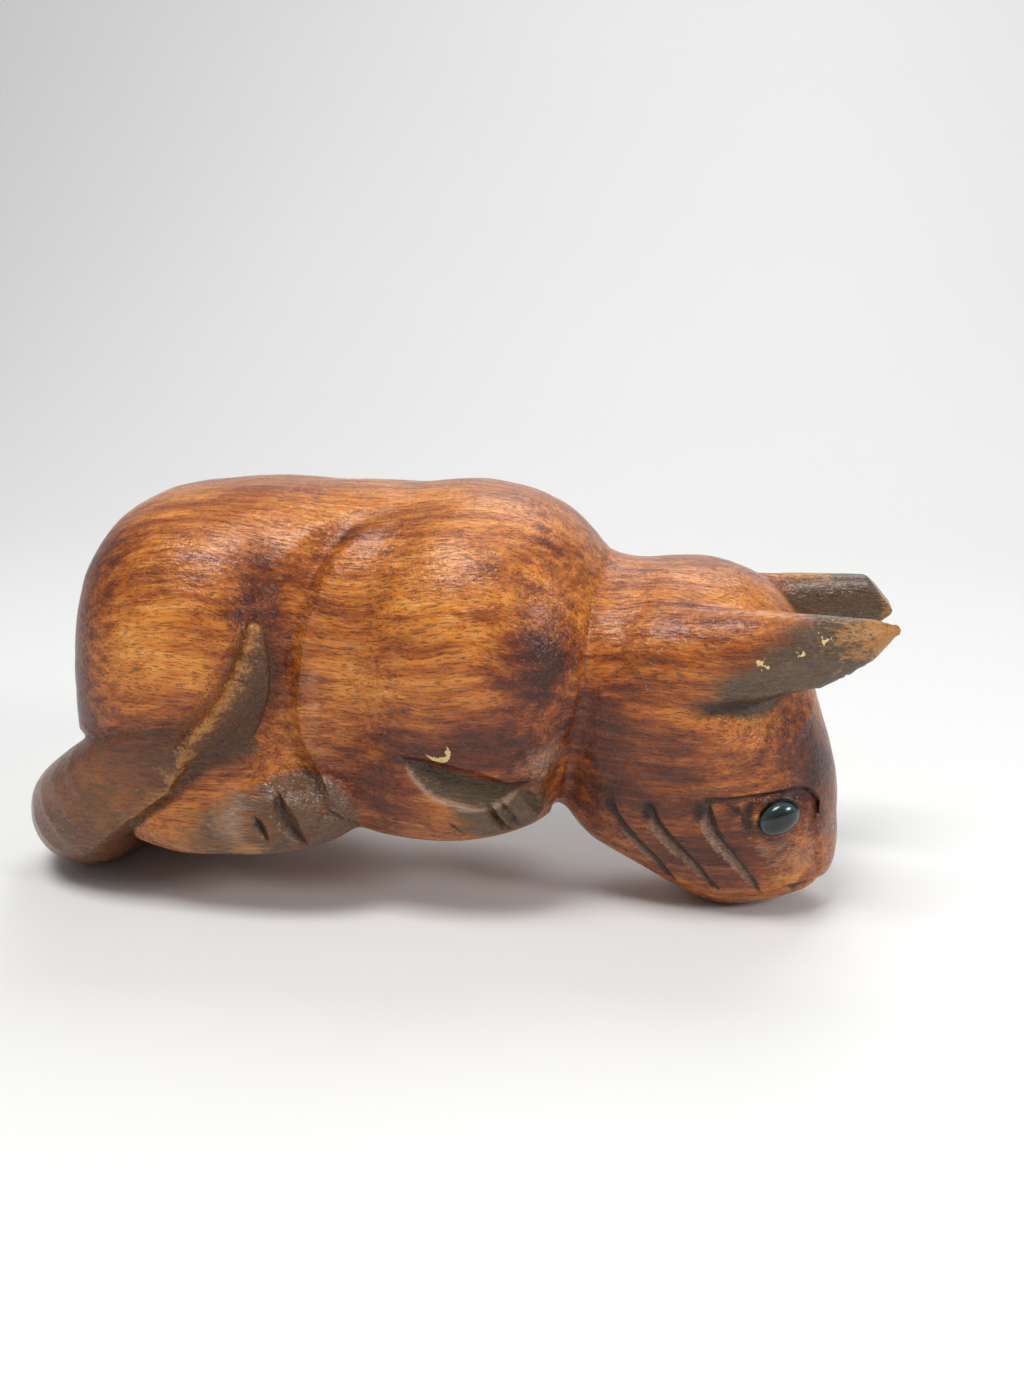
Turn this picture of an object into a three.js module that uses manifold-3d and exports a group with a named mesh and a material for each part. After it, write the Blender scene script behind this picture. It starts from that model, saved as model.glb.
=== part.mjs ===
// A crouching cat carved from one block of wood, with two glass eyes set in bored sockets.
// Millimetres, +Z up. The head points along +X, the tail curls round the cat's right side, -Y.
// The carving is worked out as a field that is negative inside the wood: rounded masses are
// blended together, V-shaped gouge cuts are taken out, and the skin is where the field is zero.
import * as THREE from "three";
import * as BufferGeometryUtils from "three/addons/utils/BufferGeometryUtils.js";
import Module from "manifold-3d";

// Masses of the carving: centre, half sizes, lean about Y in degrees, and squareness
// (2 is an ellipsoid). The paired ones are mirrored in the cat's middle plane.
const RUMP = { at: [-76, 0, 61.2], half: [40, 42, 49.2], lean: -4, square: 2.6 };
const TORSO = { at: [-36, 0, 67], half: [60, 38, 44.5], lean: 0, square: 2.4 };
const HAUNCH = { at: [-82, 19, 60], half: [30, 27, 43], lean: 6, square: 2.3 };
const SHOULDER = { at: [-10, 0, 66.5], half: [40.5, 45, 46], lean: 10, square: 2.2 };
const FOREARM = { at: [-14, 20, 36], half: [30.5, 20, 15], lean: -5, square: 2.2 };
const NECK = { at: [27, 0, 62], half: [22, 31, 31], lean: 0, square: 2 };
const SKULL = { at: [46, 0, 60.5], half: [34, 34, 33.5], lean: 0, square: 2.25 };
const FACE = { at: [63, 0, 28.5], half: [26, 27, 30], lean: 0, square: 2.15 };
const JAW = { at: [41, 0, 38], half: [28, 26, 27], lean: 20, square: 2.2 };
const NOSE = { at: [78, 0, 15.5], half: [11.5, 13, 10.5], lean: 0, square: 2.3 };
const HIND_FOOT = { at: [-62, 33, 29], half: [28, 11.5, 11.3], lean: -7, square: 2.2 };
const HEEL = { at: [-86, 29, 28], half: [16, 13, 11], lean: 0, square: 2.2 };
const EAR_HOLLOW = { at: [82, 23, 68.5], half: [12, 2.8, 7], lean: -14, square: 2 };

// How softly each joint between masses is rounded.
const BLEND = { back: 10, haunch: 8, shoulder: 3, arm: 8, brow: 14, jaw: 12, nose: 6, ear: 2.5,
  neck: 6, head: 5, foot: 4, tail: 1, chin: 7, chip: 2, hollow: 1.5 };

// The muzzle narrows below this height, by this share at the table.
const MUZZLE_TOP = 36;
const MUZZLE_NARROWING = 0.2;
// The flat plane pared off under the nose: a point on it and its outward direction.
const CHIN_PLANE = { at: [69, 0, -1.1], out: [0.284, 0, -0.959] };

// Tail: stations along its middle line, x, y, z and radius.
const TAIL = [
  [-78, 30, 24, 9], [-94, 33, 15, 12.5], [-112, 17, 15, 15.4], [-119.5, -3, 15.8, 16.4],
  [-115, -19, 22, 15.6], [-102, -30.5, 33, 14.8], [-85.5, -36.5, 44.5, 13],
  [-73, -39.2, 53.5, 10.8], [-66, -39.8, 61.5, 8.8], [-62, -40, 69.5, 6.4], [-59.5, -40.2, 79, 2.6],
];
const TAIL_STEPS = 30;
// The tail's long ridge: where it starts and is full, as steps, its height as a share of the
// radius, how steep and how wide its two faces are, and how far below sideways it faces, in
// degrees, at the bend, middle and tip.
const RIDGE = { from: 12, full: 17, height: 0.85, steep: 0.65, width: 1.05, turn: [18, 21],
  facing: [52, 0, -16] };
// A groove this deep and this wide parts the tail from the body all round.
const TAIL_GROOVE = { depth: 1.3, width: 3.2 };

// Ears: stations x, y, z and radius. An ear is flattened sideways by EAR_THINNESS.
const RIGHT_EAR = [
  [42, -24, 71, 13], [62, -25.5, 73.5, 13.3], [74, -25.2, 75.5, 10.8], [86, -23.8, 78, 7.8],
  [93.5, -22.5, 80.5, 4.6], [98, -21.5, 82, 1.5],
];
const LEFT_EAR = [
  [42, 24, 71, 13], [62, 25.5, 72.7, 13], [74, 25.2, 75.2, 10.7], [86, 23.8, 77.8, 8.9],
  [94, 22.5, 79.2, 7.8], [103, 21, 79.6, 7],
];
const EAR_STEPS = 13;
const EAR_THINNESS = 1.5;
// The left ear has lost its point: two broken faces meet at CHIP_POINT.
const CHIP_POINT = [102, 78];
const CHIP_FACES = [[0.75, 0.66], [0.72, -0.69]];

// Gouge cuts. Stations are x, distance from the middle plane, z and depth; the two walls
// fall at the given slopes, above or ahead of the line first. All are cut on both sides.
const CUTS = {
  flank_crease: { walls: [0.9, 0.34], line: [[-18, 19, 109, 0.1], [-26, 21.5, 107, 0.9],
    [-36.5, 25, 104, 1.8], [-43.8, 31.7, 96.5, 2.6], [-49.2, 37.6, 84, 3.2], [-51.7, 39.7, 75, 3.6],
    [-53.3, 40.6, 62, 3.6], [-52.3, 39.5, 51.5, 3.4], [-47.5, 37.4, 40, 2.8], [-38, 36, 31, 1.2],
    [-32, 33, 26, 0]] },
  neck_crease: { walls: [0.25, 0.8], line: [[25.5, 2, 96.5, 0.3], [24.2, 18, 92.3, 0.6],
    [23, 27.5, 82.8, 0.9], [22.9, 31, 73.4, 1.1], [22.2, 32, 63, 1.2], [19.5, 30.5, 50, 1.6],
    [16.5, 29, 39, 3], [14, 26, 31, 2]] },
  paw_gouge: { walls: [0.8, 0.62], line: [[-23, 41, 49, 0], [-17.5, 41.7, 47.2, 3],
    [-12.1, 41.8, 45.3, 4.5], [-4.6, 41.2, 43, 4.9], [1, 40, 41.5, 4.1], [5, 38, 41.5, 1.8],
    [9, 35, 42.5, 0.5]] },
  fore_toe_1: { walls: [0.9, 0.8], line: [[-2.4, 41, 41.5, 0.3], [1.2, 39, 36, 1.7],
    [4.3, 34, 30, 1.8], [6.5, 29.5, 26, 0.7]] },
  fore_toe_2: { walls: [0.7, 0.8], line: [[5.6, 38.7, 42.5, 0.3], [9.5, 36, 38, 1.8],
    [13, 30.5, 32, 1.6], [14, 26, 27.5, 0.6]] },
  hind_toe_1: { walls: [0.75, 1], line: [[-54.7, 41, 38.5, 0.2], [-53.4, 43, 33, 2],
    [-51, 43.5, 28, 2.3], [-47.5, 41, 23.5, 0.8]] },
  hind_toe_2: { walls: [0.75, 1], line: [[-60.3, 43.5, 32.5, 0.2], [-59, 44, 29, 1.4],
    [-57, 43.3, 25, 0.6]] },
  ear_ledge: { walls: [0.9, 0.24], line: [[48.5, 34.5, 60.6, 0], [56.5, 33.5, 62, 1.5],
    [63.7, 32, 63.3, 2.3], [70.9, 29.5, 64.6, 2.6], [79.4, 26.3, 65.6, 2.2]] },
  cheek_1: { walls: [1.35, 0.72], line: [[56, 30, 37, 0.8], [56.4, 28.8, 29.5, 2.3],
    [59, 27.5, 25, 2.5], [61.5, 26.8, 21.5, 2.5], [64, 26, 18, 2.3], [66.8, 23.5, 14, 2],
    [70, 18.7, 8.4, 0.9]] },
  cheek_2: { walls: [1.35, 0.72], line: [[41, 28.5, 34, 0.8], [43.3, 27.2, 27.3, 2.1],
    [47.4, 25.6, 22.5, 2.3], [51.3, 24.3, 18, 2.2], [54.8, 22.5, 13.5, 1.8], [58.5, 19, 9, 0.8]] },
  cheek_3: { walls: [1.3, 0.7], line: [[30, 26.1, 34, 0.4], [35.6, 23.8, 24.3, 1.7],
    [41.5, 20.9, 17.3, 1.8], [46.8, 15.2, 9.6, 0.8]] },
  brow: { walls: [1.3, 0.3], line: [[54.5, 30.3, 38.8, 0.4], [59, 29.8, 38, 1.3],
    [65, 28.3, 38.3, 1.8], [71.2, 26, 38.5, 2], [76.3, 23.3, 39.1, 2], [78.8, 21.7, 39, 1.8],
    [81.6, 19.3, 36.8, 1.6], [83.2, 18, 33.4, 1.3], [82.7, 19, 30, 1], [80.8, 20.5, 25.5, 0.2]] },
  rear_lid: { walls: [1.2, 1.1], line: [[68.4, 27.6, 36.8, 0.4], [66.4, 27.9, 34.2, 1.5],
    [66.2, 27.9, 31, 1.5], [67.6, 27.2, 28, 0.4]] },
  mouth: { walls: [1, 1], line: [[75.5, 16.2, 9.9, 0.2], [79.8, 12.2, 9.2, 2.1], [84, 9, 9, 2.3],
    [87.4, 4, 9.4, 1.9], [88.2, 0, 9.6, 1.7]] },
};
const CUT_STEPS_PER_STATION = 2;
// Distances across the cat count by this share, so that a cut also bites where the skin
// lies a little in or out of its line.
const CUT_REACH_ACROSS = 0.45;

// Shallow hollows pressed into the form on both sides: centre, half sizes and depth.
const HOLLOWS = [
  { at: [-56, 40, 90], half: [9, 14, 12], depth: 1.8 },
  { at: [-55, 40, 66], half: [7, 14, 16], depth: 1.6 },
  { at: [73, 26, 31], half: [11, 10, 9], depth: 1.3 },
  { at: [63.6, 28.6, 34.2], half: [1.8, 4, 1.8], depth: 1.3 },
  { at: [50, 34, 24], half: [12, 14, 10], depth: 0.8 },
];

// Glass eyes: oval lenses. Each looks along EYE_LOOK and is longest near EYE_SLANT, both as
// on the left side and mirrored on the right.
const EYE_AT = [73, 25, 32.4];
const EYE_LOOK = [0.42, 0.9, -0.1];
const EYE_SLANT = [0.815, -0.355, 0.46];
const EYE_LENGTH = 11.2;
const EYE_HEIGHT = 8.6;
const EYE_THICKNESS = 5.6;
const EYE_CLEARANCE = 0.4;
const EYE_SIDES = 24;
const EYE_RINGS = 10;

// The carving stands on z = 0, where its lowest points are worn flat by a block this large.
const TABLE = 600;
// The middle of the carving's length and width.
const MIDDLE = [-17.25, -1.11];

// Grid lines that the skin is worked out on: where they start on each axis, then stretches of
// an end and a spacing. SKIN_TRIANGLES are left once the skin is thinned.
const GRID_MARGIN = 2;
const EARS_END = Math.max(...LEFT_EAR.map(([x, , , r]) => x + r)) + GRID_MARGIN;
const GRID = [
  { start: -141.3, stretches: [[-64, 3.1], [-22, 2], [-8, 3], [16, 1.8], [34, 2], [EARS_END, 1.5]] },
  { start: -59.2, stretches: [[-12, 1.7], [12, 3.1], [57, 1.7]] },
  { start: -5.1, stretches: [[46, 1.7], [84, 1.9], [118, 3]] },
];
const CROSSING_ROUNDS = 4;
const SLOPE_STEP = 0.06;
const CORNER_HOLD = 0.04;
const SKIN_TRIANGLES = 8300;
const THIN_HOLD = 2e-3;
const THIN_LENGTH_COST = 1e-5;
const THIN_SHARE_PER_ROUND = 1 / 3;
const THIN_LEAST_AGREEMENT = 0.35;

const rad = THREE.MathUtils.degToRad;
const clamp = THREE.MathUtils.clamp;
const smoothMin = (a, b, k) => {
  const h = Math.max(k - Math.abs(a - b), 0) / k;
  return Math.min(a, b) - h * h * k / 4;
};
const smoothMax = (a, b, k) => -smoothMin(-a, -b, k);

// Signed distance, to first order, from a rounded mass that leans about Y.
function mass({ at, half, lean, square }, x, y, z) {
  const c = Math.cos(rad(lean));
  const s = Math.sin(rad(lean));
  const dx = x - at[0];
  const dz = z - at[2];
  const u = Math.abs(dx * c - dz * s) / half[0];
  const v = Math.abs(y - at[1]) / half[1];
  const w = Math.abs(dx * s + dz * c) / half[2];
  const q = Math.pow(u ** square + v ** square + w ** square, 1 / square);
  const slope = Math.hypot(u / half[0], v / half[1], w / half[2]) + 1e-9;
  return (q - 1) * Math.hypot(u, v, w) / slope;
}

// A smooth curve through the stations, with the same number of steps between each two.
function throughStations(stations, steps) {
  const first = stations[0].map((v, i) => 2 * v - stations[1][i]);
  const last = stations.at(-1).map((v, i) => 2 * v - stations.at(-2)[i]);
  const p = [first, ...stations, last];
  const spans = stations.length - 1;
  return Array.from({ length: steps + 1 }, (_, n) => {
    const t = Math.min(n / steps * spans, spans - 1e-9);
    const i = Math.floor(t);
    const u = t - i;
    return p[i].map((_, k) => {
      const [a, b, c, d] = [p[i][k], p[i + 1][k], p[i + 2][k], p[i + 3][k]];
      return (2 * b + (c - a) * u + (2 * a - 5 * b + 4 * c - d) * u * u
        + (3 * b - a - 3 * c + d) * u ** 3) / 2;
    });
  });
}

// The nearest point of a chain: its distance, its place along the chain and its row.
function nearest(chain, x, y, z, across = 1) {
  let best = Infinity;
  let place = 0;
  let side = 0;
  for (let i = 0; i + 1 < chain.length; i++) {
    const a = chain[i];
    const b = chain[i + 1];
    const dx = b[0] - a[0];
    const dy = (b[1] - a[1]) * across;
    const dz = b[2] - a[2];
    const wx = x - a[0];
    const wy = (y - a[1]) * across;
    const wz = z - a[2];
    const t = clamp((wx * dx + wy * dy + wz * dz) / (dx * dx + dy * dy + dz * dz), 0, 1);
    const d = (wx - t * dx) ** 2 + (wy - t * dy) ** 2 + (wz - t * dz) ** 2;
    if (d < best - 1e-9) {
      best = d;
      place = i + t;
      side = dx * wz - dz * wx;
    }
  }
  const i = Math.min(Math.floor(place), chain.length - 2);
  const t = place - i;
  const row = chain[i].map((v, k) => v * (1 - t) + chain[i + 1][k] * t);
  const along = chain[i + 1].map((v, k) => v - chain[i][k]);
  return { distance: Math.sqrt(best), place, row, side, along };
}

const tailChain = throughStations(TAIL, TAIL_STEPS);
const tailEnd = Math.max(...TAIL.map(([x, , , r]) => x + r));
const tailTop = Math.max(...TAIL.map(([, , z, r]) => z + r));
const earChains = [throughStations(RIGHT_EAR, EAR_STEPS), throughStations(LEFT_EAR, EAR_STEPS)]
  .map((chain) => ({ chain, flat: chain.map(([x, , z, r]) => [x, 0, z, r]) }));
const cuts = Object.values(CUTS).map(({ walls, line }) => {
  const chain = throughStations(line, (line.length - 1) * CUT_STEPS_PER_STATION);
  const width = Math.max(...line.map((row) => row[3])) / Math.min(...walls) + 1;
  const reach = [width, width / CUT_REACH_ACROSS, width];
  const low = reach.map((far, k) => Math.min(...chain.map((row) => row[k])) - far);
  const high = reach.map((far, k) => Math.max(...chain.map((row) => row[k])) + far);
  return { walls, chain, low, high };
});

// The tail is round at its bend and has two flat faces meeting in a ridge towards its tip.
function tail(x, y, z) {
  const { distance, place, row, along } = nearest(tailChain, x, y, z);
  const round = distance - row[3];
  const [low, level, up] = RIDGE.facing;
  const [turnStart, turnEnd] = RIDGE.turn;
  const facing = low + (level - low) * clamp((place - turnStart) / (turnEnd - turnStart), 0, 1)
    + (up - level) * clamp((place - turnEnd) / (TAIL_STEPS - turnEnd), 0, 1);
  const axis = new THREE.Vector3(along[0], along[1], along[2]).normalize();
  const out = new THREE.Vector3(0, -Math.cos(rad(facing)), -Math.sin(rad(facing)));
  out.addScaledVector(axis, -out.dot(axis)).normalize();
  const beside = new THREE.Vector3().crossVectors(axis, out);
  const offset = new THREE.Vector3(x - row[0], y - row[1], z - row[2]);
  const a = offset.dot(out) / RIDGE.height;
  const faces = RIDGE.steep * (a + Math.abs(offset.dot(beside)) - RIDGE.width * row[3]);
  const share = clamp((place - RIDGE.from) / (RIDGE.full - RIDGE.from), 0, 1);
  return round * (1 - share) + Math.max(faces, round) * share;
}

// An ear is a tapering cone, flattened sideways about its own middle line.
function ear({ chain, flat }, x, y, z) {
  let i = 0;
  while (i < chain.length - 2 && chain[i + 1][0] < x) {
    i += 1;
  }
  const [a, b] = [chain[i], chain[i + 1]];
  const middle = a[1] + (b[1] - a[1]) * clamp((x - a[0]) / (b[0] - a[0]), 0, 1);
  const { distance, row } = nearest(flat, x, (y - middle) * EAR_THINNESS, z);
  return (distance - row[3]) / Math.sqrt(EAR_THINNESS);
}

// Skull, face, jaw and nose blended together, pared flat under the chin, with both ears.
function head(x, y, z) {
  const narrowed = y * (1 + MUZZLE_NARROWING * clamp(1 - z / MUZZLE_TOP, 0, 1));
  let d = smoothMin(mass(SKULL, x, y, z), mass(FACE, x, narrowed, z), BLEND.brow);
  d = smoothMin(d, mass(JAW, x, y, z), BLEND.jaw);
  d = smoothMin(d, mass(NOSE, x, y, z), BLEND.nose);
  const chin = CHIN_PLANE.out[0] * (x - CHIN_PLANE.at[0]) + CHIN_PLANE.out[2] * (z - CHIN_PLANE.at[2]);
  d = smoothMax(d, chin, BLEND.chin);
  let ears = ear(earChains[y < 0 ? 0 : 1], x, y, z);
  if (y > 0) {
    for (const [ox, oz] of CHIP_FACES) {
      ears = smoothMax(ears, ox * (x - CHIP_POINT[0]) + oz * (z - CHIP_POINT[1]), BLEND.chip);
    }
  }
  ears = smoothMax(ears, -mass(EAR_HOLLOW, x, Math.abs(y), z), BLEND.hollow);
  return smoothMin(d, ears, BLEND.ear);
}

// Depth of the deepest gouge cut and of the hollows at a point.
function cutDepth(x, y, z) {
  const side = Math.abs(y);
  let depth = 0;
  for (const { walls, chain, low, high } of cuts) {
    if (x < low[0] || x > high[0] || side < low[1] || side > high[1] || z < low[2] || z > high[2]) {
      continue;
    }
    const hit = nearest(chain, x, side, z, CUT_REACH_ACROSS);
    depth = Math.max(depth, hit.row[3] - hit.distance * walls[hit.side > 0 ? 0 : 1]);
  }
  for (const { at, half, depth: deep } of HOLLOWS) {
    const q = ((x - at[0]) / half[0]) ** 2 + ((side - at[1]) / half[1]) ** 2 + ((z - at[2]) / half[2]) ** 2;
    depth += deep * Math.exp(-q);
  }
  return depth;
}

// The whole carving, before its underside is flattened and the eye sockets are bored. The
// tail is laid on last, so no other cut runs through it.
function carving(x, y, z) {
  const side = Math.abs(y);
  let d = smoothMin(mass(RUMP, x, y, z), mass(TORSO, x, y, z), BLEND.back);
  d = smoothMin(d, mass(HAUNCH, x, side, z), BLEND.haunch);
  d = smoothMin(d, mass(SHOULDER, x, y, z), BLEND.shoulder);
  d = smoothMin(d, mass(FOREARM, x, side, z), BLEND.arm);
  d = smoothMin(d, mass(NECK, x, y, z), BLEND.neck);
  d = smoothMin(d, head(x, y, z), BLEND.head);
  const foot = smoothMin(mass(HIND_FOOT, x, side, z), mass(HEEL, x, side, z), BLEND.neck);
  d = smoothMin(d, foot, BLEND.foot) + cutDepth(x, y, z);
  if (x > tailEnd + TAIL_GROOVE.width || z > tailTop + TAIL_GROOVE.width) {
    return d;
  }
  const fromTail = tail(x, y, z);
  const groove = TAIL_GROOVE.depth * Math.max(0, 1 - Math.abs(fromTail) / TAIL_GROOVE.width);
  return smoothMin(d + groove, fromTail, BLEND.tail);
}

// Grid lines of one axis, from [end, spacing] stretches: closer where the carving is fine.
function gridLines(start, stretches) {
  const lines = [start];
  for (const [end, spacing] of stretches) {
    const from = lines.at(-1);
    const count = Math.max(1, Math.round((end - from) / spacing));
    for (let n = 1; n <= count; n++) {
      lines.push(from + (end - from) * n / count);
    }
  }
  return lines;
}

function slopeOf(field, p) {
  return [0, 1, 2].map((k) => {
    const [low, high] = [[...p], [...p]];
    low[k] -= SLOPE_STEP;
    high[k] += SLOPE_STEP;
    return (field(...high) - field(...low)) / (2 * SLOPE_STEP);
  });
}

// The point where the planes of a cell's crossings meet best, held a little to their middle
// and kept inside the cell.
function meetingPoint(hits, low, high) {
  const middle = [0, 1, 2].map((k) => hits.reduce((sum, hit) => sum + hit.p[k], 0) / hits.length);
  const hold = CORNER_HOLD * hits.length;
  const m = [hold, 0, 0, 0, hold, 0, 0, 0, hold];
  const goal = [0, 0, 0];
  for (const { p, n } of hits) {
    const d = n.reduce((sum, v, k) => sum + v * (p[k] - middle[k]), 0);
    for (let a = 0; a < 3; a++) {
      goal[a] += n[a] * d;
      for (let b = 0; b < 3; b++) {
        m[3 * a + b] += n[a] * n[b];
      }
    }
  }
  const move = new THREE.Vector3(...goal).applyMatrix3(new THREE.Matrix3(...m).invert()).toArray();
  return middle.map((v, k) => clamp(v + move[k], low[k], high[k]));
}

// Sorts a cell's crossed grid lines into the separate sheets of skin that pass through it, and
// gives each line its sheet's name. Two crossed lines of one side belong together; where all
// four are crossed, those round a corner that lies in the wood do.
function sheetsOf(cell, step, value) {
  const sheet = new Map();
  const nameOf = (line) => (sheet.has(line) && sheet.get(line) !== line ? nameOf(sheet.get(line)) : line);
  const join = (a, b) => {
    const [p, q] = [nameOf(a), nameOf(b)];
    sheet.set(p, p);
    sheet.set(q, p);
  };
  for (let k = 0; k < 3; k++) {
    const [u, v] = [(k + 1) % 3, (k + 2) % 3];
    for (const first of [cell, cell + step[k]]) {
      const corners = [first, first + step[u], first + step[u] + step[v], first + step[v]];
      const lines = [3 * corners[0] + u, 3 * corners[1] + v, 3 * corners[3] + u, 3 * corners[0] + v];
      const inside = corners.map((i) => value[i] < 0);
      const crossed = lines.filter((_, n) => inside[n] !== inside[(n + 1) % 4]);
      if (crossed.length === 2) {
        join(...crossed);
      } else if (crossed.length === 4) {
        inside.forEach((wood, n) => wood && join(lines[n], lines[(n + 3) % 4]));
      }
    }
  }
  return nameOf;
}

// Corners and triangles of the field's zero surface. Every sheet of skin in a cell of the grid
// gets one corner, and every crossed grid line a face between the four cells round it.
function skinOf(field) {
  const lines = GRID.map(({ start, stretches }) => gridLines(start, stretches));
  const [nx, ny, nz] = lines.map((line) => line.length);
  const step = [1, nx, nx * ny];
  const at = (i) => [lines[0][i % nx], lines[1][Math.floor(i / nx) % ny], lines[2][Math.floor(i / nx / ny)]];
  const value = Float64Array.from({ length: nx * ny * nz }, (_, i) => field(...at(i)) || 1e-9);
  const crossed = [];
  const cells = new Map();
  for (let i = 0; i < value.length; i++) {
    const place = [i % nx, Math.floor(i / nx) % ny, Math.floor(i / nx / ny)];
    for (let k = 0; k < 3; k++) {
      const j = i + step[k];
      if (place[k] + 1 >= lines[k].length || (value[i] < 0) === (value[j] < 0)) {
        continue;
      }
      let [low, high, inner, outer] = [0, 1, value[i], value[j]];
      const p = at(i);
      const [from, to] = [p[k], lines[k][place[k] + 1]];
      for (let n = 0; n < CROSSING_ROUNDS; n++) {
        const t = n % 2 ? (low + high) / 2 : low + (high - low) * clamp(inner / (inner - outer), 0.05, 0.95);
        p[k] = from + (to - from) * t;
        const v = field(...p);
        if ((v < 0) === (inner < 0)) {
          [low, inner] = [t, v];
        } else {
          [high, outer] = [t, v];
        }
      }
      const slope = slopeOf(field, p);
      const size = Math.hypot(...slope) + 1e-9;
      const hit = { line: 3 * i + k, p, n: slope.map((v) => v / size) };
      const [u, v] = [step[(k + 1) % 3], step[(k + 2) % 3]];
      const ring = [i - u - v, i - v, i, i - u];
      for (const cell of ring) {
        if (!cells.has(cell)) {
          cells.set(cell, []);
        }
        cells.get(cell).push(hit);
      }
      crossed.push({ line: hit.line, ring: value[i] < 0 ? ring : ring.reverse() });
    }
  }
  const points = [];
  const cornerOf = new Map();
  for (const [cell, hits] of cells) {
    const nameOf = sheetsOf(cell, step, value);
    const high = at(cell + step[0] + step[1] + step[2]);
    const corners = new Map();
    for (const name of new Set(hits.map(({ line }) => nameOf(line)))) {
      corners.set(name, points.length);
      points.push(meetingPoint(hits.filter(({ line }) => nameOf(line) === name), at(cell), high));
    }
    cornerOf.set(cell, (line) => corners.get(nameOf(line)));
  }
  const apart = (a, b) => Math.hypot(...points[a].map((v, k) => v - points[b][k]));
  const faces = crossed.flatMap(({ line, ring }) => {
    const [a, b, c, d] = ring.map((cell) => cornerOf.get(cell)(line));
    return apart(a, c) < apart(b, d) ? [[a, b, c], [a, c, d]] : [[a, b, d], [b, c, d]];
  });
  return { points, faces };
}

// The largest connected sheet of skin. Small closed bubbles, where the tail lies close along
// the body, are filled with wood.
function outerSkin({ points, faces }) {
  const link = points.map((_, i) => i);
  const sheetOf = (i) => {
    while (link[i] !== i) {
      link[i] = link[link[i]];
      i = link[i];
    }
    return i;
  };
  for (const [a, b, c] of faces) {
    link[sheetOf(a)] = sheetOf(b);
    link[sheetOf(b)] = sheetOf(c);
  }
  const size = new Map();
  for (const [a] of faces) {
    size.set(sheetOf(a), (size.get(sheetOf(a)) ?? 0) + 1);
  }
  const largest = [...size].sort((p, q) => q[1] - p[1])[0][0];
  return { points, faces: faces.filter(([a]) => sheetOf(a) === largest) };
}

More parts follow.
